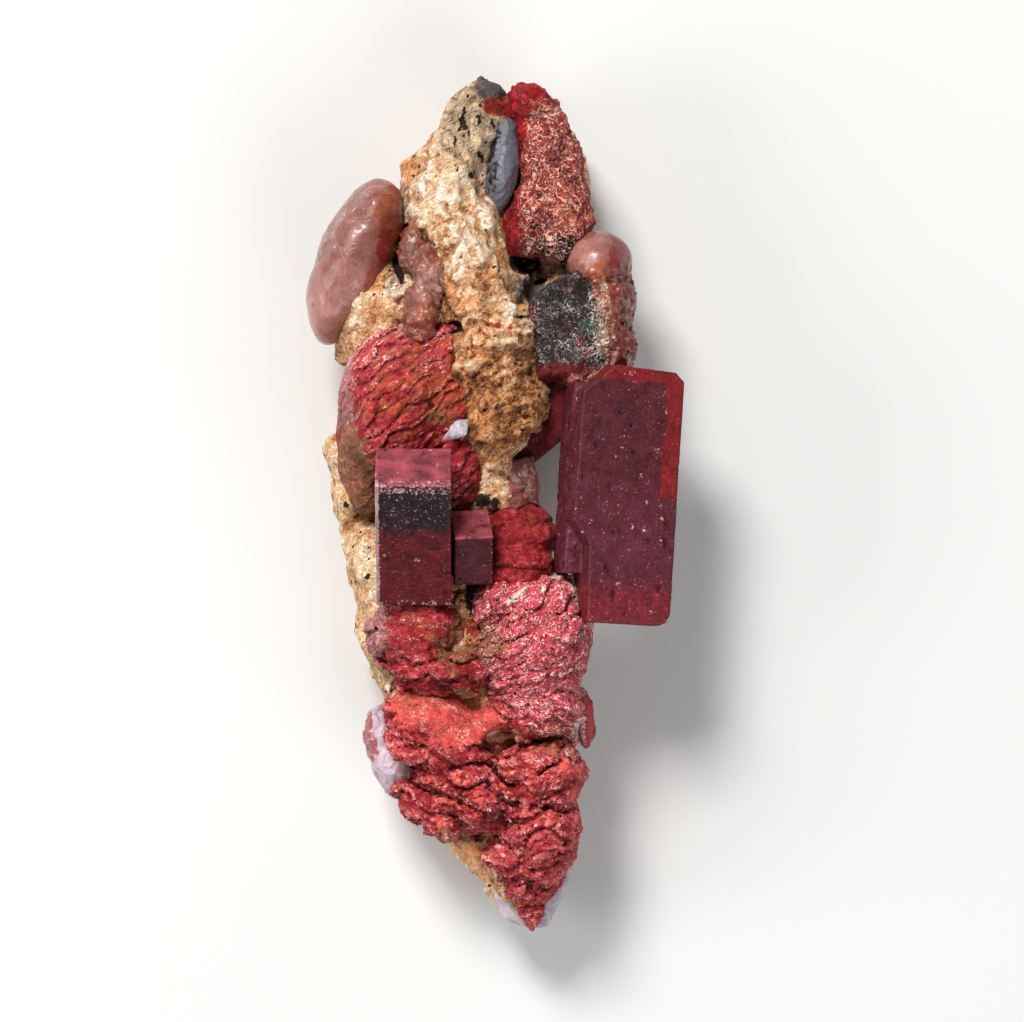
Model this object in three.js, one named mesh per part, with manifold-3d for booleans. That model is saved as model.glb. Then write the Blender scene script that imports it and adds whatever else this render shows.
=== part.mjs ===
// Red apophyllite and stilbite crystals on a cream zeolite matrix, lying on its broken back.
// Millimetres, +Z up. +X is the specimen's right, +Y its upper end, and the crystals face +Z.
import * as THREE from "three";
import { ImprovedNoise } from "three/addons/math/ImprovedNoise.js";
import { mergeVertices } from "three/addons/utils/BufferGeometryUtils.js";
import Module from "manifold-3d";

const wasm = await Module();
wasm.setup();
const { Manifold, Mesh: SolidMesh } = wasm;

// Driving dimensions of the flat-faced crystals.
const PLATE = { width: 10.6, height: 25.2, thickness: 5.4 };
const PRISM = { width: 7.4, height: 14.2, depth: 6.8 };
const SMALL_PRISM = { width: 3.8, height: 5.6, depth: 5.0 };
const PRISM_LEAN = 33;

// Neighbouring crystals keep this clearance, where the real ones are grown together.
const CLEARANCE = 0.3;

// A socket is cut with a plainer shape than the lump in it, so it is cut larger by this share of the lump.
const SOCKET_SWELL = 0.06;

// How strongly a lump's facets gather at its front.
const FRONT_GATHER = 1.35;

// The break at the back is flat, and the specimen rests on it.
const FLOOR_SLAB = { across: 200, deep: 40 };

const perlin = new ImprovedNoise();
const radians = THREE.MathUtils.degToRad;

/** The placement of a shape: where its centre is and how it is turned, in degrees about X, Y and Z. */
function placement(at, turn) {
  const angles = new THREE.Euler(...turn.map(radians), "XYZ");
  const quaternion = new THREE.Quaternion().setFromEuler(angles);
  return new THREE.Matrix4().compose(
    new THREE.Vector3(...at),
    quaternion,
    new THREE.Vector3(1, 1, 1),
  );
}

/** A closed geometry as a solid that can be joined and cut. */
function solidOf(geometry) {
  geometry.deleteAttribute("normal");
  geometry.deleteAttribute("uv");
  const merged = mergeVertices(geometry, 1e-4);
  return new Manifold(
    new SolidMesh({
      numProp: 3,
      vertProperties: merged.attributes.position.array,
      triVerts: new Uint32Array(merged.index.array),
    }),
  );
}

/** Ledges that run at an angle in the XY plane, one every step: how far each place is down its own ledge, 0 to 1. */
function parallelLedges(angle, step) {
  const [across, up] = [-Math.sin(radians(angle)), Math.cos(radians(angle))];
  return (x, y) => -(x * across + y * up) / step;
}

/** Ledges that fan out from a hinge, one every so many degrees. */
function fannedLedges(hinge, degrees) {
  return (x, y) => -THREE.MathUtils.radToDeg(Math.atan2(y - hinge[1], x - hinge[0])) / degrees;
}

/** A point of a ball moved towards the front, so that most of the facets are where they are seen. */
function gathered(point) {
  const polar = new THREE.Spherical().setFromCartesianCoords(point.y, point.z, point.x);
  const share = polar.phi / Math.PI;
  polar.phi = Math.PI * share ** FRONT_GATHER;
  const moved = new THREE.Vector3().setFromSpherical(polar);
  return new THREE.Vector3(moved.z, moved.x, moved.y);
}

/**
 * A rounded lump: an ellipsoid with an uneven skin. rough is how far the skin wanders, over bumps of size grain.
 * Where it has ledges, each one swells by drop on its way down and then falls back in a crease.
 */
function lump(at, radii, options = {}) {
  const { turn = [0, 0, 0], rough = 0.5, grain = 2.6, detail = 2, ledges = null, drop = 0.7 } = options;
  return (grow, coarse = false) => {
    const ball = new THREE.IcosahedronGeometry(1, coarse ? 1 : detail);
    const position = ball.attributes.position;
    const place = placement(at, turn);
    const point = new THREE.Vector3();
    const out = new THREE.Vector3();
    for (let i = 0; i < position.count; i++) {
      point.fromBufferAttribute(position, i);
      if (!coarse) point.copy(gathered(point));
      out.set(point.x / radii[0], point.y / radii[1], point.z / radii[2]).normalize();
      out.transformDirection(place);
      point.multiply(new THREE.Vector3(...radii)).applyMatrix4(place);
      const bump = perlin.noise(point.x / grain, point.y / grain, point.z / grain);
      let swell = grow + bump * rough;
      if (coarse) swell += SOCKET_SWELL * Math.max(...radii) + (ledges ? drop / 2 : 0);
      if (ledges && !coarse && out.z > -0.2) {
        const phase = ledges(point.x, point.y) + 0.5 * bump;
        swell += drop * (phase - Math.floor(phase) - 0.6);
      }
      point.addScaledVector(out, swell);
      position.setXYZ(i, point.x, point.y, point.z);
    }
    return solidOf(ball);
  };
}

/** A long rock: rings round the Y axis, one at each station, joined by a skin that wanders by rough. */
function spine(stations, rough, grain = 3.4, sides = 16) {
  return (grow) => {
    const rings = stations.length - 1;
    const skin = new THREE.CylinderGeometry(1, 1, rings, sides, rings);
    const position = skin.attributes.position;
    const point = new THREE.Vector3();
    for (let i = 0; i < position.count; i++) {
      point.fromBufferAttribute(position, i);
      const [y, middle, half, low, high] = stations[Math.round(rings / 2 - point.y)];
      const height = (low + high) / 2;
      const rise = (high - low) / 2;
      const bump = perlin.noise(
        (middle + half * point.x) / grain,
        y / grain,
        (height + rise * point.z) / grain,
      );
      const swell = grow + bump * rough;
      const end = Math.sign(y) * (Math.abs(point.y) > rings / 2 - 0.5 ? grow : 0);
      position.setXYZ(
        i,
        middle + (half + swell) * point.x,
        y + end,
        height + (rise + swell) * point.z,
      );
    }
    return solidOf(skin);
  };
}

/** A flat-faced crystal: its outline in its own plane, a thickness across it and a bevel round both faces. */
function tablet(outline, thickness, at, turn, bevel = 0.25) {
  return (grow) => {
    const shape = new THREE.Shape(outline.map(([x, y]) => new THREE.Vector2(x, y)));
    const slab = new THREE.ExtrudeGeometry(shape, {
      depth: thickness - 2 * bevel,
      bevelEnabled: true,
      bevelSegments: 1,
      bevelSize: bevel,
      bevelThickness: bevel + grow,
      bevelOffset: grow - bevel,
    });
    slab.translate(0, 0, bevel - thickness / 2);
    slab.applyMatrix4(placement(at, turn));
    return solidOf(slab);
  };
}

/** The outline of a rectangle about its middle. */
function rectangle(width, height) {
  const [x, y] = [width / 2, height / 2];
  return [[-x, -y], [x, -y], [x, y], [-x, y]];
}

// The matrix: a long spine of cream zeolite rock, from the horn at the upper end to the tapered foot.
// Each station is its place along Y, the middle in X, the half width, and the lowest and highest Z.
const SPINE = [
  [42.5, -1.4, 1.0, 9.0, 12.6],
  [41.2, -1.5, 2.4, 7.0, 14.8],
  [38.4, -1.9, 3.1, 4.6, 16.2],
  [36.2, -2.8, 4.0, 2.6, 16.8],
  [34.2, -4.2, 5.2, 0.8, 17.2],
  [30.6, -4.0, 5.3, -0.6, 17.6],
  [26.0, -3.2, 5.6, -1.4, 18.4],
  [21.0, -2.4, 6.2, -1.8, 18.8],
  [16.0, -1.2, 6.4, -2.0, 19.2],
  [11.0, -0.8, 5.4, -2.0, 19.2],
  [6.6, -1.0, 4.4, -2.0, 18.4],
  [2.4, -2.2, 4.4, -2.0, 16.6],
  [-3.0, -4.6, 7.8, -2.2, 15.6],
  [-9.0, -4.4, 8.8, -2.4, 16.4],
  [-15.0, -3.0, 8.6, -2.4, 16.0],
  [-22.0, -1.4, 8.0, -2.2, 15.4],
  [-28.0, 0.2, 6.8, -2.0, 14.0],
  [-33.4, 1.2, 5.2, -0.6, 12.2],
  [-37.6, 2.0, 3.4, 1.6, 11.0],
  [-40.8, 2.6, 1.8, 3.8, 9.6],
  [-42.2, 2.7, 0.5, 5.6, 8.0],
];
const matrix = [
  spine(SPINE, 1.5),
  lump([-2.6, 21.0, 15.0], [3.4, 3.0, 4.4], { turn: [0, 0, 20], rough: 0.8, detail: 2 }),
  lump([0.6, 16.6, 15.2], [3.2, 2.6, 4.4], { turn: [0, 0, -14], rough: 0.8, detail: 2 }),
  lump([-3.8, 27.4, 14.2], [3.6, 2.8, 4.2], { turn: [0, 0, 12], rough: 0.8, detail: 2 }),
  lump([1.6, 9.4, 15.6], [3.0, 3.4, 4.4], { turn: [0, 0, -35], rough: 0.7 }),
  lump([1.0, 0.2, 14.6], [2.4, 1.5, 2.8], { turn: [0, 0, -12], rough: 0.3, detail: 1 }),
  lump([-10.6, 19.6, 8.0], [5.6, 7.6, 8.4], { turn: [0, 0, -18], rough: 1.4, grain: 3.4 }),
  lump([-9.0, 9.0, 7.0], [6.2, 8.4, 7.8], { rough: 1.4, grain: 3.4, detail: 1 }),
  lump([4.6, 30.4, 6.0], [4.8, 9.0, 5.6], { rough: 1.4, grain: 3.4, detail: 1 }),
  lump([6.6, 18.4, 6.6], [5.8, 7.4, 6.4], { rough: 1.4, grain: 3.4, detail: 1 }),
  lump([-14.9, 4.9, 7.4], [2.3, 3.0, 3.8], { rough: 0.4, detail: 1 }),
  lump([-14.6, 0.3, 7.0], [2.0, 3.2, 3.8], { rough: 0.4, detail: 1 }),
  lump([-12.4, -6.6, 7.4], [2.6, 5.8, 4.8], { turn: [0, 0, 8], rough: 0.4, detail: 1 }),
  lump([-11.0, -13.6, 7.6], [2.4, 5.4, 4.8], { turn: [0, 0, 12], rough: 0.4, detail: 1 }),
  lump([-9.4, -18.6, 7.6], [2.2, 3.4, 4.4], { turn: [0, 0, 20], rough: 0.4, detail: 1 }),
  lump([-1.9, -34.0, 6.6], [2.9, 2.4, 4.0], { turn: [0, 0, -28], rough: 0.3, detail: 1 }),
];

// A lens of grey quartz beside the horn.
const quartzLens = [
  lump([0.5, 33.9, 13.4], [1.9, 5.0, 3.6], { turn: [0, 8, -8], rough: 0.3, detail: 1 }),
];

// A broad blade at the upper right, crusted with fine crystals.
const crustedBlade = [
  tablet(
    [
      [-4.2, -7.8], [-0.2, -8.4], [3.2, -6.8], [4.2, -4.6], [3.6, -1.6], [2.8, 2.0],
      [1.6, 4.8], [0.6, 7.2], [-1.2, 8.6], [-3.2, 8.8], [-4.0, 7.4], [-2.8, 3.0],
      [-3.2, -0.6], [-4.4, -4.2],
    ],
    8.4,
    [5.1, 33.0, 11.6],
    [0, 10, 0],
    1.2,
  ),
  lump([3.2, 39.4, 12.2], [2.2, 2.0, 3.6], { rough: 0.5, detail: 1 }),
  lump([6.4, 29.6, 13.2], [2.9, 5.4, 3.8], { turn: [0, 0, 6], rough: 0.6, detail: 2 }),
  lump([5.0, 35.6, 13.2], [2.5, 4.0, 3.4], { turn: [0, 0, 12], rough: 0.6, detail: 2 }),
];

// A dark block under the blade, its face rough with drusy crystals.
const drusyBlock = [
  tablet(
    [[-3.4, -5.2], [3.0, -5.4], [4.0, -1.0], [3.6, 3.6], [1.0, 5.4], [-1.8, 4.4], [-3.8, 2.4]],
    8.2,
    [7.2, 17.6, 13.4],
    [-4, 6, 2],
    0.9,
  ),
];

// The knobs that run down the right edge beside the block.
const rightKnobs = [
  lump([10.3, 24.3, 12.6], [3.3, 3.1, 5.2], { rough: 0.3 }),
  lump([11.2, 20.0, 12.0], [2.6, 3.6, 5.4], { rough: 0.5, detail: 1 }),
  lump([11.3, 15.6, 12.2], [2.6, 3.4, 5.4], { rough: 0.5, detail: 1 }),
  lump([9.4, 12.4, 13.6], [3.4, 1.6, 4.4], { turn: [0, 0, -8], rough: 0.4, detail: 1 }),
];

// A smooth pale crystal that stands along the upper left edge.
const paleLobe = [
  lump([-14.0, 24.6, 11.4], [3.9, 7.8, 5.6], { turn: [0, 0, -24], rough: 0.3 }),
  lump([-16.2, 20.8, 10.8], [2.5, 4.7, 4.8], { turn: [0, 0, -10], rough: 0.2, detail: 1 }),
  lump([-12.0, 29.2, 11.6], [2.8, 3.4, 5.0], { turn: [0, 0, -24], rough: 0.2, detail: 1 }),
];

// Buds between the pale crystal and the matrix.
const buds = [
  lump([-8.2, 25.4, 15.4], [1.1, 2.4, 2.6], { turn: [0, 0, 4], rough: 0.2, detail: 1 }),
  lump([-6.4, 23.0, 17.0], [1.4, 2.8, 2.6], { turn: [0, 0, 14], rough: 0.2, detail: 1 }),
  lump([-7.2, 19.2, 16.8], [1.6, 3.2, 2.8], { turn: [0, 0, -10], rough: 0.2, detail: 1 }),
];

// The rounded upper sheaf of stilbite, left of the matrix's middle.
const upperSheaf = [
  lump([-9.8, 10.0, 12.6], [5.9, 8.0, 8.6], { turn: [0, 0, -6], rough: 0.6, detail: 4, ledges: parallelLedges(36, 2.4) }),
  lump([-5.4, 14.4, 15.6], [1.9, 3.6, 3.8], { turn: [0, 0, -16], rough: 0.4, detail: 1 }),
  lump([-4.4, 9.4, 15.8], [2.2, 3.4, 4.0], { rough: 0.5, detail: 1 }),
  lump([-13.4, 4.4, 10.6], [2.4, 5.6, 4.6], { turn: [0, 0, 10], rough: 0.3, detail: 1 }),
  lump([-3.4, 3.4, 14.6], [2.2, 4.6, 4.4], { turn: [0, 0, 6], rough: 0.5, detail: 1 }),
];

// A flake of clear cleavage caught under the sheaf.
const clearFlake = [
  tablet(
    [[-1.4, -0.9], [0.9, -0.8], [1.4, 0.8], [0.2, 0.7], [-0.4, 0.3]],
    0.9,
    [-3.9, 7.4, 20.0],
    [-24, 10, 12],
    0.15,
  ),
];

// The tablet that stands off the right side, leaning a little to the right.
const [plateX, plateY] = [PLATE.width / 2, PLATE.height / 2];
const plate = [
  tablet(
    [
      [-plateX + 2.0, -plateY], [plateX - 0.5, -plateY], [plateX, -plateY + 0.5],
      [plateX, plateY - 0.9], [plateX - 0.9, plateY], [-plateX + 3.4, plateY + 0.4],
      [-plateX + 0.2, plateY - 2.4], [-plateX, -plateY + 10.0], [-plateX + 1.8, -plateY + 7.6],
    ],
    PLATE.thickness,
    [12.3, 0.7, 17.6],
    [0, 16, -3.6],
    0.35,
  ),
  tablet(rectangle(2.4, 19.0), 4.2, [8.0, 2.6, 16.8], [0, 16, -3.6], 0.3),
];

// A dark tablet behind, which carries the big one from the matrix.
const strut = [
  tablet(rectangle(10.6, 5.0), 5.4, [6.2, 9.2, 12.0], [8, -10, 40], 0.4),
];

// Two square prisms side by side, leaning towards the front so that their ends show.
const prism = [
  tablet(rectangle(PRISM.width, PRISM.height), PRISM.depth, [-8.0, -2.3, 20.8], [PRISM_LEAN, 0, 0], 0.12),
];
const smallPrism = [
  tablet(
    rectangle(SMALL_PRISM.width, SMALL_PRISM.height),
    SMALL_PRISM.depth,
    [-2.35, -4.3, 19.6],
    [PRISM_LEAN, 6, -1],
    0.12,
  ),
];

// A pale wedge beside the gap that the big tablet leaves.
const paleWedge = [
  tablet(
    [[-1.9, 1.6], [-1.3, -0.6], [0.4, -2.4], [1.7, -2.6], [1.9, 0.4], [1.3, 2.6]],
    6.6,
    [2.2, 2.0, 12.2],
    [-10, 8, 0],
    0.4,
  ),
];

// Stilbite below the gap, in smooth steps.
const middleSheaf = [
  lump([2.4, -2.8, 13.4], [3.7, 3.1, 5.0], { turn: [0, 0, -8], rough: 0.3 }),
  lump([1.8, -6.4, 14.4], [3.9, 3.0, 5.6], { turn: [0, 0, 2], rough: 0.4 }),
];

// The largest sheaf, whose ridges sweep up to the right edge.
const rightFan = fannedLedges([-6.0, -19.0], 7.5);
const rightSheaf = [
  lump([4.2, -13.8, 13.6], [5.9, 7.4, 8.2], { turn: [0, 0, -20], rough: 0.5, detail: 4, ledges: rightFan }),
  lump([1.6, -9.6, 14.6], [4.2, 3.2, 6.0], { turn: [0, 0, 24], rough: 0.4, detail: 3, ledges: rightFan }),
  lump([4.4, -20.0, 13.4], [5.0, 3.2, 6.8], { turn: [0, 0, -8], rough: 0.5, detail: 3, ledges: rightFan }),
];

// The lobe and its ledges left of it, under the prisms.
const leftSheaf = [
  lump([-7.8, -13.0, 13.8], [4.7, 4.2, 6.4], { turn: [0, 0, 8], rough: 0.6 }),
  lump([-5.4, -16.6, 14.0], [5.0, 2.4, 6.6], {
    turn: [0, 0, -6],
    rough: 0.4,
    detail: 3,
    ledges: parallelLedges(-6, 2.0),
  }),
];

// The broad shelf below, with a lip along its lower right.
const shelfLedges = parallelLedges(-24, 2.2);
const broadShelf = [
  lump([-5.4, -22.8, 13.2], [5.8, 4.2, 6.6], {
    turn: [0, 0, -24],
    rough: 0.6,
    detail: 3,
    ledges: shelfLedges,
    drop: 0.9,
  }),
  lump([0.6, -21.4, 13.4], [4.6, 2.0, 5.4], { turn: [0, 0, 6], rough: 0.4, detail: 2 }),
];

// A round rosette in the pocket under the lip.
const rosette = [
  lump([2.9, -26.2, 16.2], [2.2, 1.8, 3.4], { rough: 0.3, detail: 1 }),
];

// The two shelves that step down to the lower left edge.
const lowerShelf = [
  lump([-1.6, -28.6, 12.8], [5.8, 3.4, 6.4], {
    turn: [0, 0, -20],
    rough: 0.6,
    detail: 3,
    ledges: shelfLedges,
    drop: 0.9,
  }),
  lump([-5.6, -30.4, 10.2], [5.2, 2.7, 5.4], {
    turn: [0, 0, -26],
    rough: 0.6,
    detail: 3,
    ledges: shelfLedges,
  }),
];

// Scalloped ledges down the right edge.
const lowerLedges = parallelLedges(6, 2.3);
const lowerRightSheaf = [
  lump([5.4, -27.2, 13.0], [4.6, 3.4, 7.0], { turn: [0, 0, 10], rough: 0.6, detail: 3, ledges: lowerLedges, drop: 0.9 }),
  lump([4.9, -32.0, 12.2], [4.5, 3.4, 6.8], { rough: 0.6, detail: 3, ledges: lowerLedges, drop: 0.9 }),
];

// The last ledges before the foot.
const footLedges = parallelLedges(-4, 1.9);
const footSheaf = [
  lump([4.0, -35.0, 10.6], [4.8, 2.6, 5.8], { rough: 0.5, detail: 2, ledges: footLedges }),
  lump([4.0, -37.6, 9.2], [3.8, 2.4, 4.6], { rough: 0.5, detail: 2, ledges: footLedges }),
];

// The foot: a red wedge held between two clear slips.
const footWedge = [
  tablet(
    [[-1.6, 2.4], [-1.1, -1.6], [0, -2.9], [1.1, -1.6], [1.8, 2.4]],
    5.2,
    [3.7, -39.7, 8.4],
    [0, 0, 0],
    0.4,
  ),
];
const footClearLeft = [
  tablet(
    [[-1.0, 3.4], [-1.5, 0.0], [-0.7, -2.4], [1.8, -3.3], [2.4, -2.6], [0.9, 0.0], [0.6, 3.2]],
    4.6,
    [1.3, -39.4, 6.8],
    [0, 0, 0],
    0.25,
  ),
];
const footClearRight = [
  tablet(
    [[-2.6, -3.4], [-0.6, -3.2], [1.2, 0.4], [2.0, 3.0], [0.6, 3.2], [-1.0, 0.4]],
    4.4,
    [5.9, -39.4, 7.4],
    [0, 0, 0],
    0.25,
  ),
];

// A clear crystal at the lower left edge, and a thin one at the right.
const lowerLeftCrystal = [
  lump([-10.4, -24.9, 9.8], [2.5, 4.8, 4.6], { turn: [0, 0, 16], rough: 0.3 }),
];
const rightSliver = [
  lump([9.0, -21.6, 11.0], [1.2, 3.3, 4.0], { turn: [0, 0, 4], rough: 0.2, detail: 1 }),
];

const COLOURS = {
  cream: { color: 0xd8b98c, roughness: 0.9 },
  quartz: { color: 0x8d929c, roughness: 0.4 },
  crust: { color: 0xc4685a, roughness: 0.8 },
  druse: { color: 0x4b4247, roughness: 0.6 },
  pale: { color: 0xc79a8d, roughness: 0.35 },
  stilbite: { color: 0xb83a35, roughness: 0.75 },
  apophyllite: { color: 0x6e2634, roughness: 0.35 },
  clear: { color: 0xd9d6dc, roughness: 0.2 },
};

// How far a solid's faces may move when small ones are merged: little on flat crystals, more on rough rock.
const TOLERANCE = {
  cream: 0.25,
  quartz: 0.1,
  crust: 0.1,
  druse: 0.05,
  pale: 0.1,
  stilbite: 0.12,
  apophyllite: 0.03,
  clear: 0.05,
};

// Each node keeps its own shape, and every later node makes room for it. The matrix comes last, so it holds them all.
const NODES = [
  ["apophyllite_prism", prism, "apophyllite"],
  ["apophyllite_small_prism", smallPrism, "apophyllite"],
  ["apophyllite_tablet", plate, "apophyllite"],
  ["clear_flake", clearFlake, "clear"],
  ["pale_lobe", paleLobe, "pale"],
  ["crusted_blade", crustedBlade, "crust"],
  ["drusy_block", drusyBlock, "druse"],
  ["right_knobs", rightKnobs, "pale"],
  ["quartz_lens", quartzLens, "quartz"],
  ["buds", buds, "pale"],
  ["upper_sheaf", upperSheaf, "stilbite"],
  ["right_sheaf", rightSheaf, "stilbite"],
  ["left_sheaf", leftSheaf, "stilbite"],
  ["middle_sheaf", middleSheaf, "stilbite"],
  ["rosette", rosette, "stilbite"],
  ["broad_shelf", broadShelf, "stilbite"],
  ["lower_right_sheaf", lowerRightSheaf, "stilbite"],
  ["lower_shelf", lowerShelf, "stilbite"],
  ["foot_sheaf", footSheaf, "stilbite"],
  ["foot_wedge", footWedge, "stilbite"],
  ["foot_clear_left", footClearLeft, "clear"],
  ["foot_clear_right", footClearRight, "clear"],
  ["lower_left_crystal", lowerLeftCrystal, "clear"],
  ["right_sliver", rightSliver, "apophyllite"],
  ["dark_strut", strut, "apophyllite"],
  ["pale_wedge", paleWedge, "pale"],
  ["matrix", matrix, "cream"],
];

/** A node's shapes joined in one solid, each grown by the same amount. */
function joined(shapes, grow, coarse) {
  return Manifold.union(shapes.map((shape) => shape(grow, coarse)));
}

/** The largest body of a solid. Cutting can leave crumbs of the rest. */
function mainBody(solid) {
  return solid.decompose().reduce((best, body) => (body.volume() > best.volume() ? body : best));
}

/** A solid as a geometry to draw. */
function geometryOf(solid) {
  const mesh = solid.getMesh();
  const positions = new Float32Array(mesh.numVert * 3);
  for (let i = 0; i < mesh.numVert; i++) {
    positions.set(mesh.vertProperties.subarray(i * mesh.numProp, i * mesh.numProp + 3), i * 3);
  }
  const geometry = new THREE.BufferGeometry();
  geometry.setAttribute("position", new THREE.BufferAttribute(positions, 3));
  geometry.setIndex(new THREE.BufferAttribute(mesh.triVerts, 1));
  geometry.computeVertexNormals();
  return geometry;
}

const below = solidOf(
  new THREE.BoxGeometry(FLOOR_SLAB.across, FLOOR_SLAB.across, FLOOR_SLAB.deep).translate(0, 0, -FLOOR_SLAB.deep / 2),
);

const specimen = new THREE.Group();
specimen.name = "specimen";
let taken = null;
for (const [name, shapes, finish] of NODES) {
  let solid = joined(shapes, 0);
  if (taken) solid = solid.subtract(taken);
  solid = mainBody(solid.subtract(below).simplify(TOLERANCE[finish]));
  const grown = joined(shapes, CLEARANCE, true).hull().simplify(0.2);
  taken = taken ? taken.add(grown) : grown;
  const { color, roughness } = COLOURS[finish];
  const material = new THREE.MeshStandardMaterial({ color, roughness, metalness: 0 });
  const mesh = new THREE.Mesh(geometryOf(solid), material);
  mesh.name = name;
  specimen.add(mesh);
}

// The middle of the bottom of the specimen's own box is the origin.
const box = new THREE.Box3().setFromObject(specimen);
const middle = box.getCenter(new THREE.Vector3());
specimen.position.set(-middle.x, -middle.y, -box.min.z);

export default specimen;
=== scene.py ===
import math

import bpy
import numpy as np
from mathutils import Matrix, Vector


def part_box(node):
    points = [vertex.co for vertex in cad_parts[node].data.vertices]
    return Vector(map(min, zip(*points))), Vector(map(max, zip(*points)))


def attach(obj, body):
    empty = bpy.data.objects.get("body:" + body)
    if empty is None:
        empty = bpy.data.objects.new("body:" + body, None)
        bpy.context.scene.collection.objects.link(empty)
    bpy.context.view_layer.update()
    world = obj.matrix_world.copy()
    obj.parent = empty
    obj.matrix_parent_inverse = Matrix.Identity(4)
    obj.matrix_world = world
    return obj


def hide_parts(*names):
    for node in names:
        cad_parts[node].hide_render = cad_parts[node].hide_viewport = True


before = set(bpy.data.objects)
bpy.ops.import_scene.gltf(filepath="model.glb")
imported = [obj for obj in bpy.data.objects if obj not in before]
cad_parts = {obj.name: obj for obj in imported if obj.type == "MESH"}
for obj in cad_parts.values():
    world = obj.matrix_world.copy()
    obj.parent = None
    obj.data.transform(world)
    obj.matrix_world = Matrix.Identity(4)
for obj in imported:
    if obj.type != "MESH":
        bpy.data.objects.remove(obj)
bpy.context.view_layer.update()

# The view, the lamps and the floor.
# The specimen is photographed from straight in front. Here it lies on its back, so the camera looks
# straight down on it. The main light comes from beyond the upper end, and throws the ledges' undersides
# into shade.
MM = 0.001

# The solids were drawn about another point than the middle of their box: the square prism's middle
# gives how far they were moved. Every place below is in the drawing's own millimetres.
PRISM_AT = np.array([-8.0, -2.3, 20.8])
prism_low, prism_high = (np.array(corner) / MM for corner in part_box("apophyllite_prism"))
MOVED = (prism_low + prism_high) / 2 - PRISM_AT


def in_frame(at):
    """A place in the drawing's millimetres, as a place in the shared frame's metres."""
    return tuple((np.array(at, float) + MOVED) * MM)


VIEW_MIDDLE = (1.7, -0.7)
MIDDLE_HEIGHT = 14.0
VIEW_DISTANCE = 568.9
camera_data = bpy.data.cameras.new("view")
camera_data.lens = 200
camera_data.sensor_width = 36
camera_data.sensor_fit = "HORIZONTAL"
camera_data.clip_start = 0.01
camera_data.clip_end = 10
camera = bpy.data.objects.new("view", camera_data)
camera.location = in_frame((*VIEW_MIDDLE, MIDDLE_HEIGHT + VIEW_DISTANCE))
bpy.context.collection.objects.link(camera)
bpy.context.scene.camera = camera
bpy.context.scene.view_settings.view_transform = "Standard"


def soft_lamp(name, at, size, watts, colour):
    """A square soft box that faces the middle of the specimen."""
    data = bpy.data.lights.new(name, "AREA")
    data.shape = "SQUARE"
    data.size = size
    data.energy = watts
    data.color = colour
    lamp = bpy.data.objects.new(name, data)
    lamp.location = at
    aim = -lamp.location.normalized()
    lamp.rotation_euler = aim.to_track_quat("-Z", "Y").to_euler()
    bpy.context.collection.objects.link(lamp)


soft_lamp("main_lamp", (-0.28, 0.62, 0.84), 0.30, 12.8, (1.0, 0.975, 0.95))
soft_lamp("fill_lamp", (0.30, -0.42, 0.50), 0.40, 2.2, (0.95, 0.97, 1.0))
soft_lamp("left_lamp", (-0.45, -0.05, 0.30), 0.25, 1.1, (1.0, 1.0, 1.0))

world = bpy.data.worlds.new("studio")
world.use_nodes = True
world.node_tree.nodes["Background"].inputs["Color"].default_value = (0.86, 0.88, 0.9, 1)
world.node_tree.nodes["Background"].inputs["Strength"].default_value = 0.25
bpy.context.scene.world = world

bpy.ops.mesh.primitive_plane_add(size=4, location=(0, 0, 0))
floor = bpy.context.object
floor.name = "floor"
floor_paint = bpy.data.materials.new("floor_paint")
floor_paint.use_nodes = True
floor_paint.node_tree.nodes["Principled BSDF"].inputs["Base Color"].default_value = (0.66, 0.66, 0.65, 1)
floor_paint.node_tree.nodes["Principled BSDF"].inputs["Roughness"].default_value = 0.85
floor.data.materials.append(floor_paint)

# The matrix.
# A long spine of cream zeolite rock, broken off flat at the back. It is granular, with small pits,
# dark specks and red stains, and it runs from the horn at the upper end to the foot.
SHUFFLE = np.random.default_rng(7).permutation(256)
GRADIENTS = np.random.default_rng(11).normal(size=(256, 3))
GRADIENTS /= np.linalg.norm(GRADIENTS, axis=1)[:, None]
JITTER = np.random.default_rng(13).random((256, 4))

# How far apart two seeds lie in the lattice, for noise and for grains, and what brings noise to between
# about -1 and 1.
NOISE_APART = 31.7
GRAINS_APART = 17.3
NOISE_GAIN = 1.6


def lattice(cells):
    """A number from 0 to 255 for each cell of a lattice, the same in every run."""
    x, y, z = (cells & 255).T
    return SHUFFLE[(SHUFFLE[(SHUFFLE[x] + y) & 255] + z) & 255]


def noise(p, size, seed=0):
    """Smooth noise between about -1 and 1, with bumps of one size, at each point."""
    q = p / size + seed * NOISE_APART
    cell = np.floor(q).astype(np.int64)
    f = q - cell
    fade = f * f * f * (f * (f * 6 - 15) + 10)
    total = np.zeros(len(p))
    for corner in np.ndindex(2, 2, 2):
        share = np.where(corner, fade, 1 - fade).prod(1)
        total += share * ((f - corner) * GRADIENTS[lattice(cell + corner)]).sum(1)
    return total * NOISE_GAIN


def grains(p, size, seed=0):
    """Packed grains: how far each point is from its grain's middle, and a number of each grain's own."""
    q = p / size + seed * GRAINS_APART
    cell = np.floor(q).astype(np.int64)
    nearest = np.full(len(p), np.inf)
    own = np.zeros(len(p))
    for step in np.ndindex(3, 3, 3):
        other = cell + step - 1
        jitter = JITTER[lattice(other)]
        distance = ((q - other - jitter[:, :3]) ** 2).sum(1)
        closer = distance < nearest
        nearest[closer] = distance[closer]
        own[closer] = jitter[closer, 3]
    return np.sqrt(nearest), own


def ramp(value, start, end):
    """0 before start, 1 after end, and smooth between them."""
    t = np.clip((value - start) / (end - start), 0, 1)
    return t * t * (3 - 2 * t)


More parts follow.
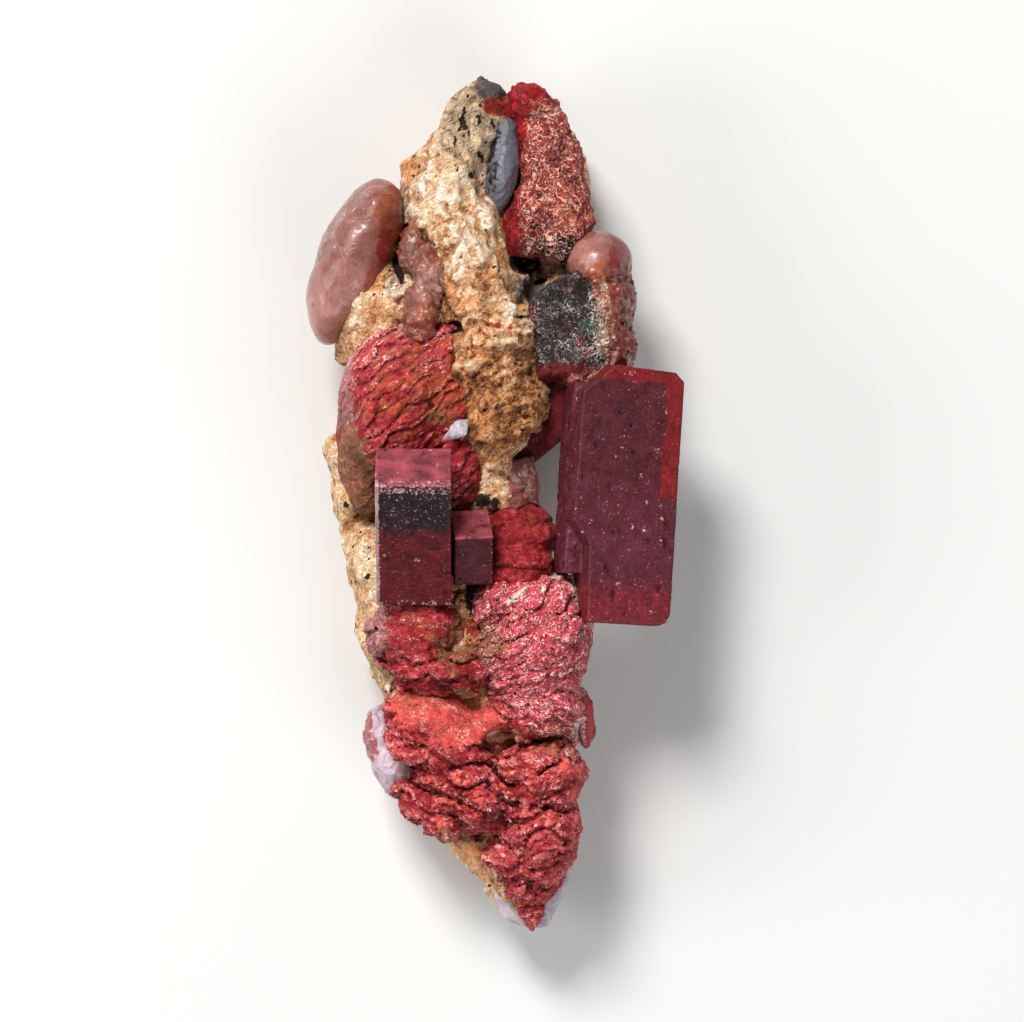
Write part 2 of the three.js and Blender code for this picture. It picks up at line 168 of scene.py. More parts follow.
def patch(p, at, reach, turn=0.0):
    """1 at a place in the front view, falling to 0 at its reach along X and Y, turned by some degrees."""
    c, s = math.cos(math.radians(turn)), math.sin(math.radians(turn))
    x, y = p[:, 0] - at[0], p[:, 1] - at[1]
    u, v = (x * c + y * s) / reach[0], (y * c - x * s) / reach[1]
    return np.clip(1 - (u * u + v * v), 0, 1)


def turned(angles):
    """The matrix that turns by angles about X, Y and Z, as the solids are turned."""
    x, y, z = (math.radians(a) for a in angles)
    about_x = np.array([[1, 0, 0], [0, math.cos(x), -math.sin(x)], [0, math.sin(x), math.cos(x)]])
    about_y = np.array([[math.cos(y), 0, math.sin(y)], [0, 1, 0], [-math.sin(y), 0, math.cos(y)]])
    about_z = np.array([[math.cos(z), -math.sin(z), 0], [math.sin(z), math.cos(z), 0], [0, 0, 1]])
    return about_x @ about_y @ about_z


def lump(at, radii, turn=(0, 0, 0)):
    """An ellipsoid, as a distance from its skin and the corners of its box."""
    at, radii, matrix = np.array(at, float), np.array(radii, float), turned(turn)

    def distance(p):
        q = (p - at) @ matrix
        near = np.linalg.norm(q / radii, axis=1)
        slope = np.linalg.norm(q / radii**2, axis=1)
        return near * (near - 1) / np.maximum(slope, 1e-6)

    reach = np.linalg.norm(matrix * radii, axis=1)
    return distance, at - reach, at + reach


def joined(shapes, soft):
    """Shapes grown together, their meeting lines filled in softly."""

    def distance(p):
        total = shapes[0][0](p)
        for other, *_ in shapes[1:]:
            d = other(p)
            share = np.clip(0.5 + 0.5 * (d - total) / soft, 0, 1)
            total = d * (1 - share) + total * share - soft * share * (1 - share)
        return total

    return distance, np.min([s[1] for s in shapes], 0), np.max([s[2] for s in shapes], 0)


def spine(stations):
    """A long rock along Y. A station is Y, the middle in X, the half width, and the lowest and highest Z."""
    table = np.array(stations, float)[::-1]
    rows = [table[:, 1], table[:, 2], (table[:, 3] + table[:, 4]) / 2, (table[:, 4] - table[:, 3]) / 2]

    def distance(p):
        middle, half, height, rise = (np.interp(p[:, 1], table[:, 0], row) for row in rows)
        x, z = (p[:, 0] - middle) / half, (p[:, 2] - height) / rise
        across = (np.sqrt(x * x + z * z) - 1) * np.minimum(half, rise)
        return np.maximum(across, np.maximum(p[:, 1] - table[-1, 0], table[0, 0] - p[:, 1]))

    low = [(rows[0] - rows[1]).min(), table[0, 0], -0.5]
    high = [(rows[0] + rows[1]).max(), table[-1, 0], table[:, 4].max()]
    return distance, np.array(low), np.array(high)


# The corners of a cell, its twelve edges, and how many points are worked out at once.
CORNERS = list(np.ndindex(2, 2, 2))
EDGES = [(a, b) for a in CORNERS for b in CORNERS if sorted(np.subtract(b, a)) == [0, 0, 1]]
POINTS_AT_ONCE = 400_000


def skin(shape, relief, cell, margin=1.6):
    """The skin of a shape with its relief, as points and quads, drawn on a lattice of cells."""
    distance, low, high = shape
    cell = np.broadcast_to(cell, 3).astype(float)
    low, high = low - margin, high + margin
    counts = np.ceil((high - low) / cell).astype(int) + 1
    lines = [low[i] + cell[i] * np.arange(counts[i]) for i in range(3)]

    def field(p):
        d = distance(p)
        near = np.abs(d) < margin
        d[near] -= relief(p[near])
        return np.maximum(d, -p[:, 2])

    values = np.empty(counts, np.float32)
    y, z = (a.ravel() for a in np.meshgrid(lines[1], lines[2], indexing="ij"))
    slab = max(1, POINTS_AT_ONCE // len(y))
    for start in range(0, counts[0], slab):
        x = lines[0][start:start + slab]
        p = np.stack([np.repeat(x, len(y)), np.tile(y, len(x)), np.tile(z, len(x))], 1)
        values[start:start + slab] = field(p).reshape(len(x), counts[1], counts[2])
    for side in (0, -1):
        values[side] = values[:, side] = values[:, :, side] = 1.0

    inside = values < 0
    full = sum(inside[a:counts[0] - 1 + a, b:counts[1] - 1 + b, c:counts[2] - 1 + c].astype(np.int8)
               for a, b, c in CORNERS)
    active = (full > 0) & (full < 8)
    number = np.full(active.shape, -1, np.int64)
    number[active] = np.arange(active.sum())
    cells = np.argwhere(active)
    place = np.zeros((len(cells), 3))
    hits = np.zeros(len(cells))
    for a, b in EDGES:
        va, vb = (values[tuple((cells + corner).T)] for corner in (a, b))
        crossed = (va < 0) != (vb < 0)
        t = va[crossed] / (va[crossed] - vb[crossed])
        place[crossed] += np.array(a) + t[:, None] * np.subtract(b, a)
        hits += crossed
    points = low + cell * (cells + place / hits[:, None])

    quads = []
    for axis in range(3):
        u, v = (axis + 1) % 3, (axis + 2) % 3
        step = np.eye(3, dtype=int)
        before = inside.take(range(counts[axis] - 1), axis)
        after = inside.take(range(1, counts[axis]), axis)
        at = np.argwhere(before != after)
        at = at[(at[:, u] > 0) & (at[:, v] > 0) & (at[:, u] < counts[u] - 1) & (at[:, v] < counts[v] - 1)]
        around = [at - step[u] - step[v], at - step[v], at, at - step[u]]
        quad = np.stack([number[tuple(c.T)] for c in around], 1)
        outward = before[tuple(at.T)]
        quad[~outward] = quad[~outward][:, ::-1]
        quads.append(quad)
    quads = np.concatenate(quads)

    # Crumbs that hang loose beside the piece are left off: its largest shell is kept.
    shell = np.arange(len(points))
    while True:
        lowest = shell.copy()
        lowest_around = shell[quads].min(1)
        for corner in quads.T:
            np.minimum.at(lowest, corner, lowest_around)
        lowest = lowest[lowest]
        if (lowest == shell).all():
            break
        shell = lowest
    kept = shell == np.bincount(shell[quads[:, 0]]).argmax()
    points, quads = points[kept], (np.cumsum(kept) - 1)[quads[kept[quads[:, 0]]]]

    # The points are drawn onto the exact skin, in two steps of half a cell at most.
    probe, least_slope, longest = 0.04, 0.5, 0.5 * cell[0]
    for _ in range(2):
        here = field(points)
        slope = np.stack([field(points + probe * e) - here for e in np.eye(3)], 1) / probe
        step = here[:, None] * slope / np.maximum((slope**2).sum(1), least_slope**2)[:, None]
        length = np.linalg.norm(step, axis=1)[:, None]
        points = points - step * np.minimum(1, longest / np.maximum(length, 1e-9))
    return points, quads


def out_of(points, quads):
    """The outward direction at each point of a skin."""
    a, b, c, d = (points[quads[:, i]] for i in range(4))
    face = np.cross(c - a, d - b)
    sums = [np.bincount(quads.ravel(), np.repeat(face[:, i], 4), len(points)) for i in range(3)]
    total = np.stack(sums, 1)
    return total / np.maximum(np.linalg.norm(total, axis=1), 1e-12)[:, None]


def piece(name, node, points, quads, marks, material, grain_at=None):
    """A piece of the specimen that stands for a solid.

    marks are numbers at each point that its colours follow. grain_at is where each point lies in the
    textures of its grain: its own place, unless the grain is drawn out.
    """
    mesh = bpy.data.meshes.new(name)
    mesh.vertices.add(len(points))
    mesh.vertices.foreach_set("co", ((points + MOVED) * MM).astype(np.float32).ravel())
    mesh.loops.add(quads.size)
    mesh.loops.foreach_set("vertex_index", quads.astype(np.int32).ravel())
    mesh.polygons.add(len(quads))
    mesh.polygons.foreach_set("loop_start", np.arange(0, quads.size, 4, dtype=np.int32))
    mesh.update(calc_edges=True)
    mesh.validate()
    mesh.shade_smooth()
    for mark, values in marks.items():
        mesh.attributes.new(mark, "FLOAT", "POINT").data.foreach_set("value", values.astype(np.float32))
    grain_at = points if grain_at is None else grain_at
    places = mesh.attributes.new("grain_at", "FLOAT_VECTOR", "POINT").data
    places.foreach_set("vector", grain_at.astype(np.float32).ravel())
    thing = bpy.data.objects.new(name, mesh)
    bpy.context.collection.objects.link(thing)
    mesh.materials.append(material)
    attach(thing, "root")
    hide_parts(node)


def light(red, green, blue):
    """A colour as it is seen, 0 to 255, as the amount of light that the shader works with."""
    parts = [c / 255 for c in (red, green, blue)]
    return (*[c / 12.92 if c <= 0.04045 else ((c + 0.055) / 1.055) ** 2.4 for c in parts], 1)


def mineral(name, tones, overlays, grain, mottle, net, sparkle, roughness, bump, settings):
    """A mineral's material.

    tones are its own colours from shade to light, which the mark "tone" runs through. Three textures
    unsettle them, each about a grain in size: mottling, a net of curly ridges like fine crystals seen from
    the end, and a sparkle that gives every grain a shade of its own. overlays are (mark, colour, source,
    ragged) laid over it, where the source is the texture that tears their edges. grain is in millimetres,
    and settings go onto the shader's own sockets.
    """
    material = bpy.data.materials.new(name)
    material.use_nodes = True
    nodes, links = material.node_tree.nodes, material.node_tree.links
    shader = nodes["Principled BSDF"]
    for socket, value in settings.items():
        shader.inputs[socket].default_value = value

    def mark(attribute, output="Fac"):
        """What the mesh says at each point."""
        reader = nodes.new("ShaderNodeAttribute")
        reader.attribute_type = "GEOMETRY"
        reader.attribute_name = attribute
        return reader.outputs[output]

    where = mark("grain_at", "Vector")

    def texture(size, detail, curl=0.0):
        """A cloudy texture with bumps of one size, in millimetres."""
        maker = nodes.new("ShaderNodeTexNoise")
        values = {"Scale": 1 / size, "Detail": detail, "Roughness": 0.65, "Distortion": curl}
        for socket, number in values.items():
            maker.inputs[socket].default_value = number
        links.new(where, maker.inputs["Vector"])
        return maker.outputs["Fac"]

    def sum_of(*terms):
        """The sum of (socket, factor, offset) terms."""
        total = None
        for socket, factor, offset in terms:
            term = nodes.new("ShaderNodeMath")
            term.operation = "MULTIPLY_ADD"
            links.new(socket, term.inputs[0])
            term.inputs[1].default_value = factor
            term.inputs[2].default_value = offset
            if total:
                plus = nodes.new("ShaderNodeMath")
                plus.operation = "ADD"
                links.new(total, plus.inputs[0])
                links.new(term.outputs[0], plus.inputs[1])
                total = plus.outputs[0]
            else:
                total = term.outputs[0]
        return total

    def between(value, low, high, start=0.0, end=1.0):
        """A smooth step from start to end, as a value goes from low to high."""
        limits = nodes.new("ShaderNodeMapRange")
        limits.interpolation_type = "SMOOTHSTEP"
        for socket, number in zip(("From Min", "From Max", "To Min", "To Max"), (low, high, start, end)):
            limits.inputs[socket].default_value = number
        links.new(value, limits.inputs["Value"])
        return limits.outputs["Result"]

    coarse = texture(grain * 5, 3)
    fine = texture(grain, 5)

    # The net's ridges run where a curled texture crosses its middle.
    curled = texture(grain * 1.7, 1.5, 1.4)
    ridge_width = 0.085
    wound = nodes.new("ShaderNodeMath")
    wound.operation = "ABSOLUTE"
    links.new(sum_of((curled, 1, -0.5)), wound.inputs[0])
    ridges = between(wound.outputs[0], ridge_width, 0.0)
    cells = nodes.new("ShaderNodeTexVoronoi")
    cells.inputs["Scale"].default_value = 1 / grain
    links.new(where, cells.inputs["Vector"])
    own = nodes.new("ShaderNodeSeparateColor")
    links.new(cells.outputs["Color"], own.inputs["Color"])
    sources = {"fine": between(fine, 0.3, 0.7), "net": ridges, "grain": own.outputs["Red"],
               "coarse": between(coarse, 0.3, 0.7)}

    level = sum_of((mark("tone"), 1, 0), (coarse, 2 * mottle, -mottle), (fine, 2 * mottle, -mottle),
                   (ridges, net, -0.4 * net), (own.outputs["Red"], sparkle, -0.5 * sparkle))
    colours = nodes.new("ShaderNodeValToRGB")
    steps = colours.color_ramp.elements
    while len(steps) < len(tones):
        steps.new(0.5)
    for i, tone in enumerate(tones):
        steps[i].position = i / (len(tones) - 1)
        steps[i].color = light(*tone)
    links.new(level, colours.inputs["Fac"])
    colour = colours.outputs["Color"]
    shade = between(level, -0.1, 1.1, 0.3, 1.8)
    for attribute, tint, source, ragged in overlays:
        amount = sum_of((mark(attribute), 1, 0), (sources[source], 2 * ragged, -ragged))
        mix = nodes.new("ShaderNodeMix")
        mix.data_type = "RGBA"
        links.new(between(amount, 0.4, 0.6), mix.inputs["Factor"])
        links.new(colour, mix.inputs["A"])
        shaded = nodes.new("ShaderNodeVectorMath")
        shaded.operation = "SCALE"
        shaded.inputs[0].default_value = light(*tint)[:3]
        links.new(shade, shaded.inputs["Scale"])
        links.new(shaded.outputs[0], mix.inputs["B"])
        colour = mix.outputs["Result"]
    links.new(colour, shader.inputs["Base Color"])
    links.new(between(fine, 0.3, 0.7, *roughness), shader.inputs["Roughness"])
    height = nodes.new("ShaderNodeBump")
    height.inputs["Strength"].default_value = bump
    height.inputs["Distance"].default_value = grain * MM
    rise = sum_of((fine, 1, 0), (coarse, 1, 0), (ridges, 1.5 * net, 0),
                  (own.outputs["Red"], 0.8 * sparkle, 0))
    links.new(rise, height.inputs["Height"])
    links.new(height.outputs["Normal"], shader.inputs["Normal"])
    return material


# The stations of the spine, from the horn down to the foot.
SPINE = [
    (42.5, -1.2, 0.3, 10.2, 11.4), (42.1, -1.3, 1.4, 8.4, 13.4), (41.2, -1.5, 2.4, 7.0, 14.8),
    (38.4, -1.9, 3.1, 4.6, 16.2), (36.2, -2.8, 4.0, 2.6, 16.8),
    (34.2, -4.2, 5.2, 0.8, 17.2), (30.6, -4.0, 5.3, -0.6, 17.6),
    (26.0, -3.2, 5.6, -1.4, 18.4), (21.0, -2.4, 6.2, -1.8, 18.8), (16.0, -1.2, 6.4, -2.0, 19.2),
    (11.0, -0.8, 5.4, -2.0, 19.2), (6.6, -1.0, 4.4, -2.0, 18.4), (2.4, -2.2, 4.4, -2.0, 16.6),
    (-3.0, -4.6, 7.8, -2.2, 15.6), (-9.0, -4.4, 8.8, -2.4, 16.4), (-15.0, -3.0, 8.6, -2.4, 16.0),
    (-22.0, -1.4, 8.0, -2.2, 15.4), (-28.0, 0.2, 6.8, -2.0, 14.0), (-33.4, 1.2, 5.2, -0.6, 12.2),
    (-37.6, 2.0, 3.4, 1.6, 11.0), (-40.8, 2.6, 1.8, 3.8, 9.6), (-42.2, 2.7, 0.5, 5.6, 8.0),
]
rock = joined([
    spine(SPINE),
    lump((-2.6, 21.0, 15.0), (3.4, 3.0, 4.4), (0, 0, 20)),
    lump((0.6, 16.6, 15.2), (3.2, 2.6, 4.4), (0, 0, -14)),
    lump((-3.8, 27.4, 14.2), (3.6, 2.8, 4.2), (0, 0, 12)),
    lump((1.6, 9.4, 15.6), (3.0, 3.4, 4.4), (0, 0, -35)),
    lump((1.0, 0.2, 14.6), (2.4, 1.5, 2.8), (0, 0, -12)),
    lump((-10.6, 19.6, 8.0), (5.6, 7.6, 8.4), (0, 0, -18)),
    lump((-9.0, 9.0, 7.0), (6.2, 8.4, 7.8)),
    lump((4.6, 30.4, 6.0), (4.8, 9.0, 5.6)),
    lump((6.6, 18.4, 6.6), (5.8, 7.4, 6.4)),
    lump((-14.9, 4.9, 7.4), (2.3, 3.0, 3.8)),
    lump((-14.6, 0.3, 7.0), (2.0, 3.2, 3.8)),
    lump((-12.4, -6.6, 7.4), (2.6, 5.8, 4.8), (0, 0, 8)),
    lump((-11.0, -13.6, 7.6), (2.4, 5.4, 4.8), (0, 0, 12)),
    lump((-9.4, -18.6, 7.6), (2.2, 3.4, 4.4), (0, 0, 20)),
    lump((-1.9, -34.0, 6.6), (2.9, 2.4, 4.0), (0, 0, -28)),
], 1.4)

# Holes and cracks in the front: the place, the reach along and across, and the turn.
ROCK_HOLES = [
    ((-4.0, 17.6), (0.9, 0.7), 0), ((3.0, 24.3), (1.7, 1.5), 0), ((4.6, 22.4), (0.8, 0.3), 20),
    ((-10.0, 24.8), (3.4, 0.5), 105), ((-9.0, 26.6), (1.8, 0.3), 80),
]


def ridged(p, size, seed):
    """Noise with sharp ridges and round hollows, between about -1 and 1."""
    return 1 - 2.4 * np.abs(noise(p, size, seed))


def across_grain(p, angle, stretch):
    """Places drawn together along an angle in the front view, which draws out what is set out by them."""
    c, s = math.cos(math.radians(angle)), math.sin(math.radians(angle))
    along = (p[:, 0] * c + p[:, 1] * s) * (1 / stretch - 1)
    return p + np.stack([along * c, along * s, np.zeros(len(p))], 1)


def parallel(angle, step):
    """Ledges at an angle in the front view, one every step: where a point is, across them and along."""
    c, s = math.cos(math.radians(angle)), math.sin(math.radians(angle))
    return lambda p: ((p[:, 0] * s - p[:, 1] * c) / step, p[:, 0] * c + p[:, 1] * s, step)


def petals(base, along, wide, seed):
    """Ledges that overlap like shingles, each row's lip cut into petals.

    base counts the rows downwards and along is how far each point is along them. Returned are how far down
    its petal each point is, from 0 under the lip above to 1 at its own lip, how far aside it is, and its
    petal's number.
    """
    row = np.floor(base).astype(int)

    def edge(i):
        t = along / wide + 5 * JITTER[(i + seed) & 255, 1]
        aside = np.abs(2 * (t - np.floor(t)) - 1)
        return i + 0.45 + 0.55 * (1 - aside**2.5), aside, (i * 37 + np.floor(t).astype(int) + seed) & 255

    i = np.where(base < edge(row)[0], row, row + 1)
    upper = edge(i - 1)[0]
    lower, aside, number = edge(i)
    return np.clip((base - upper) / (lower - upper), 0, 1), aside, JITTER[number, 2]


def flakes(p, ledges, seed):
    """Rows of small flakes: their relief, how far down its flake a point is, and its flake's number."""
    across, along, step = ledges(p)
    across, along = across + 0.6 * p[:, 2] / step, along + 0.8 * p[:, 2]
    base = across + 0.5 * noise(p, 2.4, seed) + 0.25 * noise(p, 1.0, seed + 1)
    down, aside, own = petals(base, along + 1.0 * noise(p, 2.0, seed + 2), 1.7 * step, seed)
    return ramp(down, -0.25, 0.75) * (0.5 + 1.0 * own) - 0.35 * aside**3 - 0.5, down, own


# Two beds of flakes, below and at the upper end, each with its seed, and the smooth stone at the foot.
LOWER_BED = (parallel(38, 1.3), 5)
UPPER_BED = (parallel(-62, 1.5), 7)
FOOT_STONE = ((-2.4, -35.6), (4.5, 4))


def at_upper_end(p):
    """1 at the upper end, where the rock is streaked, and 0 below."""
    return ramp(p[:, 1] + 0.4 * p[:, 0], 21, 25)


def off_margin(p):
    """1 on the body of the rock, and a quarter on its calm left margin."""
    return 1 - 0.75 * ramp(p[:, 0], -10.5, -12)


def holes_at(p):
    """1 in the middle of a hole or crack in the front, and 0 away from them."""
    return sum(patch(p, *hole) for hole in ROCK_HOLES) * (p[:, 2] > 9) * (1 + 0.8 * noise(p, 0.9, 19))


def rock_relief(p):
    """The relief of the rock: granular below, streaked at the upper end, with the holes sunk in."""
    upper = at_upper_end(p)
    calm = off_margin(p) * (1 - 0.8 * patch(p, *FOOT_STONE))
    body = 0.7 * noise(p, 3.2) + 0.35 * noise(p, 1.5, 3)
    granular = 0.42 * flakes(p, *LOWER_BED)[0] + 0.20 * ridged(p, 0.75, 6)
    streaks = 0.34 * flakes(p, *UPPER_BED)[0] + 0.12 * ridged(across_grain(p, 105, 2.4), 0.7, 8)
    result = body + (granular * (1 - upper) + streaks * upper) * calm
    return result - 1.25 * ramp(holes_at(p), 0, 0.8)


points, quads = skin(rock, rock_relief, (0.3, 0.3, 0.5))
out = out_of(points, quads)
small, own = grains(points, 0.6)
points = points + out * (0.10 * (0.6 - small))[:, None]
relief = rock_relief(points)
x, y = points[:, 0], points[:, 1]
front = ramp(points[:, 2], 8, 12)
ivory = patch(points, (-4.5, 31), (7, 8)) + 0.9 * patch(points, (1.6, 15.4), (3, 5), 10)
cream = patch(points, (-2, 23), (8, 7))
warm = patch(points, (-1.5, 13), (8, 8)) + patch(points, (2, 8.5), (6, 7))
margin = ramp(x, -9, -12) * ramp(y, 9, 5)
horn = patch(points, (-2.2, 37.5), (5, 8)) * front
stone = patch(points, *FOOT_STONE)
# The tone is painted lighter on the relief's crests and darker in its hollows: painted light and shade. The
# patches and the grains' own shades are the rock's colour.
tone = (0.48 + 0.20 * relief + 0.18 * ivory + 0.10 * cream + 0.08 * patch(points, (-11.5, 19), (5, 5))
        - 0.20 * warm + 0.18 * margin + 0.12 * (own - 0.5) - 0.12 * horn + 0.20 * stone)
streaks = grains(across_grain(points, 100, 2.4), 0.5, 4)
specked = np.clip(patch(points, (-1.8, 36), (2.8, 6)) * 2.4, 0, 1) * front
dark = ((streaks[1] > 0.58) * ramp(streaks[0], 0.56, 0.36) * specked
        * ramp(noise(points, 1.6, 18), -0.6, -0.2))
dots = grains(points, 1.3, 17)
dark = dark + (dots[0] < 0.15 + 0.08 * margin) * (dots[1] > 0.55) * 0.9
upper = at_upper_end(points)
_, lower_down, lower_own = flakes(points, *LOWER_BED)
_, upper_down, upper_own = flakes(points, *UPPER_BED)
down = lower_down * (1 - upper) + upper_down * upper
flake = lower_own * (1 - upper) + upper_own * upper
calm = off_margin(points)
# Each flake is painted lighter towards its lip, where the light falls on it: painted light.
tone = tone + calm * (0.22 * ramp(down, 0.3, 0.9) + 0.2 * (flake - 0.5) - 0.06)
# The crease under the lip above is painted dark: painted shade.
dark = dark + 0.45 * ramp(down, 0.20, 0.02) * (1 - 0.6 * upper) * calm * front
hole = holes_at(points)
rusty = noise(points, 2.2, 12) + 0.6 * warm + 0.5 * cream - relief * 0.25 - 0.6 * ivory
red_specks = ramp(noise(points, 1.0, 14), 0.25, 0.5) * ramp(patch(points, (-0.6, 19.6), (3.2, 5.0)), 0, 0.5)
piece("matrix_rock", "matrix", points, quads, {
    "tone": tone,
    "stone": 0.62 * ramp(horn, 0, 0.8) + 0.2 * noise(points, 2.0, 9) * ramp(horn, 0, 0.3)
    + 0.1 * ramp(y, 28, 32),
    "ochre": -0.4 * ramp(horn, 0.1, 0.4) + 0.48 * ramp(rusty, 0.1, 1.0)
    + 0.6 * patch(points, (-9, 33.5), (2, 2)) + 0.5 * stone,
    "red": 0.5 * patch(points, (-1.8, -13), (3.4, 3)) + 1.6 * patch(points, (0.2, 39.7), (1.7, 1.2))
    + 0.8 * red_specks
    + 0.5 * ramp(noise(points, 2.0, 15), 0.1, 0.5) * ramp(y, 4, -2) * ramp(x, -11, -8) * ramp(y, -33, -29),
    "ash": 1.1 * patch(points, (0.6, 41.8), (3.2, 1.8)) + 0.24 * ramp(horn, 0.2, 0.7)
    + 0.9 * patch(points, (3.6, 21.4), (3.0, 1.8)) + 0.5 * patch(points, (-9.8, 23.4), (1.8, 4)),
    "mossy": 0.45 * patch(points, (-12.2, -15.5), (2.5, 5)),
    "mauve": 1.1 * patch(points, (3.0, 0.8), (2.4, 2.8)) + 0.5 * patch(points, (1.6, 3.6), (1.6, 2)),
    # The horn's dark specks and the black dots are the rock's own. The holes and cracks, the gap between the
    # side sheaves at (-1.9, -9.0) and the streak at (-1.6, 0.4) above the middle steps are painted shade.
    "dark": np.clip(dark + 1.4 * ramp(hole, 0.0, 0.4) + 1.1 * patch(points, (-1.9, -9.0), (1.5, 2.6))
                    + patch(points, (-1.6, 0.4), (3.0, 1.0), -8) * (0.8 + noise(points, 0.8, 20)), 0, 1),
}, mineral(
    "cream_zeolite",
    [(70, 28, 12), (144, 86, 50), (200, 144, 98), (234, 196, 154), (252, 242, 224)],
    [("stone", (186, 162, 132), "fine", 0.5), ("ochre", (206, 136, 82), "fine", 0.5),
     ("mossy", (138, 128, 84), "coarse", 0.3), ("mauve", (150, 84, 78), "fine", 0.3),
     ("ash", (100, 92, 90), "fine", 0.4), ("red", (160, 48, 34), "fine", 0.3),
     ("dark", (40, 26, 20), "fine", 0.15)],
    grain=0.34, mottle=0.5, net=-0.2, sparkle=0.2, roughness=(0.6, 0.95), bump=0.9,
    settings={"Specular IOR Level": 0.3},
), across_grain(points, 40, 1.6))

# The flat-faced apophyllite.
# The big tablet, the two square prisms, the dark strut behind and the thin crystal at the right edge: red
# apophyllite with flat faces, sharp edges, fine growth steps and small pits, grown onto its neighbours.


def outline_distance(x, y, corners):
    """How far points are outside an outline in a plane, negative within it."""
    best = np.full(len(x), np.inf)
    within = np.zeros(len(x), bool)
    for (ax, ay), (bx, by) in zip(corners, corners[1:] + corners[:1]):
        ex, ey = bx - ax, by - ay
        t = np.clip(((x - ax) * ex + (y - ay) * ey) / (ex * ex + ey * ey), 0, 1)
        best = np.minimum(best, (x - ax - t * ex) ** 2 + (y - ay - t * ey) ** 2)
        if ey:
            within ^= ((ay <= y) != (by <= y)) & (x < ax + (y - ay) * ex / ey)
    return np.where(within, -1, 1) * np.sqrt(best)


def tablet(corners, thickness, at, turn, edge):
    """A flat crystal: its outline in its own plane, its thickness, and how round its edges are."""
    at, matrix = np.array(at, float), turned(turn)

    def distance(p):
        q = (p - at) @ matrix
        across = outline_distance(q[:, 0], q[:, 1], corners) + edge
        through = np.abs(q[:, 2]) - thickness / 2 + edge
        outside = np.hypot(np.maximum(across, 0), np.maximum(through, 0))
        return np.minimum(np.maximum(across, through), 0) + outside - edge

    ends = np.array([(*c, z) for c in corners for z in (-thickness / 2, thickness / 2)]) @ matrix.T + at
    return distance, ends.min(0), ends.max(0)


def rectangle(width, height):
    """The corners of a rectangle about its middle."""
    x, y = width / 2, height / 2
    return [(-x, -y), (x, -y), (x, y), (-x, y)]


def crystal_relief(p):
    """The fine relief of a flat face: low growth hillocks and a few pits."""
    hillocks = np.round(noise(p, 2.8, 21) * 3) / 3
    pits = ramp(noise(p, 0.9, 22), 0.5, 0.75)
    return 0.03 * hillocks + 0.03 * noise(p, 0.5, 23) - 0.12 * pits


crystal_material = mineral(
    "red_apophyllite",
    [(34, 4, 8), (68, 16, 26), (86, 30, 43), (104, 46, 60), (156, 96, 106)],
    [("bright", (122, 22, 28), "fine", 0.08), ("band", (44, 24, 28), "fine", 0.25),
     ("mauve", (146, 66, 76), "coarse", 0.25), ("frost", (186, 150, 152), "fine", 0.5),
     ("night", (40, 4, 6), "fine", 0.2)],
    grain=0.26, mottle=0.26, net=0.04, sparkle=0.08, roughness=(0.35, 0.6), bump=0.3,
    settings={"Specular IOR Level": 0.2, "Coat Weight": 0.04, "Coat Roughness": 0.2, "IOR": 1.54},
)


def crystal_marks(p, own_marks):
    """The marks of a flat-faced crystal: those it is given, and the dots that all of them have."""
    spots = grains(p, 1.5, 25)
    marks = {"tone": 0.45, "bright": 0, "band": 0, "mauve": 0, "night": 0, "frost": 0}
    marks.update(own_marks)
    # The tone is darker in the faces' small pits: painted shade.
    marks["tone"] = marks["tone"] + 0.14 * noise(p, 1.3, 26) - 0.25 * ramp(noise(p, 0.9, 22), 0.45, 0.7)
    marks["frost"] = marks["frost"] + 0.5 * ramp(spots[0], 0.22, 0.1) * (spots[1] > 0.45)
    return {name: np.broadcast_to(value, len(p)).astype(float) for name, value in marks.items()}


# The big tablet has a stepped bright red strip down its right edge, and a rougher side face.
TABLET = (10.6, 25.2, 5.4)
TABLET_AT = (12.3, 0.7, 17.6)
TABLET_TURN = (0, 16, -3.6)
half_x, half_y = TABLET[0] / 2, TABLET[1] / 2
tablet_outline = [
    (-half_x + 2.0, -half_y), (half_x - 1.3, -half_y), (half_x - 0.4, -half_y + 0.4),
    (half_x, -half_y + 1.3),
    (half_x, half_y - 0.9), (half_x - 0.9, half_y), (-half_x + 3.4, half_y + 0.4),
    (-half_x + 0.2, half_y - 2.4), (-half_x, -half_y + 10.0), (-half_x + 1.8, -half_y + 7.6),
]
big_tablet = joined([
    tablet(tablet_outline, TABLET[2], TABLET_AT, TABLET_TURN, 0.2),
    tablet(rectangle(2.4, 19.0), 4.2, (8.0, 2.6, 16.8), TABLET_TURN, 0.2),
], 0.05)
points, quads = skin(big_tablet, crystal_relief, 0.2, 0.6)
local = (points - TABLET_AT) @ turned(TABLET_TURN)
u, v = local[:, 0], local[:, 1]
step = 0.5 * np.floor(noise(np.stack([u * 0, v, u * 0], 1), 3.0, 31) * 3) / 3
strip = ramp(u, half_x - 1.9 + step, half_x - 1.7 + step) * ramp(v, -1.5, 1.0) * ramp(v, half_y, half_y - 2)
side = ramp(local[:, 2], TABLET[2] / 2 - 0.15, TABLET[2] / 2 - 0.4)
piece("big_tablet", "apophyllite_tablet", points, quads, crystal_marks(points, {
    "tone": 0.46 - 0.10 * ramp(v, -4, 4) + 0.18 * side * ramp(u, -3, -4.5)
    + 0.25 * side * noise(points, 0.5, 33),
    "bright": 0.75 * strip + 0.5 * ramp(v, -4, -10) + 0.62 * ramp(v, half_y - 2.0, half_y - 0.8),
    "night": 0.3 * side * ramp(noise(points, 0.8, 32), 0.2, 0.6),
}), crystal_material)

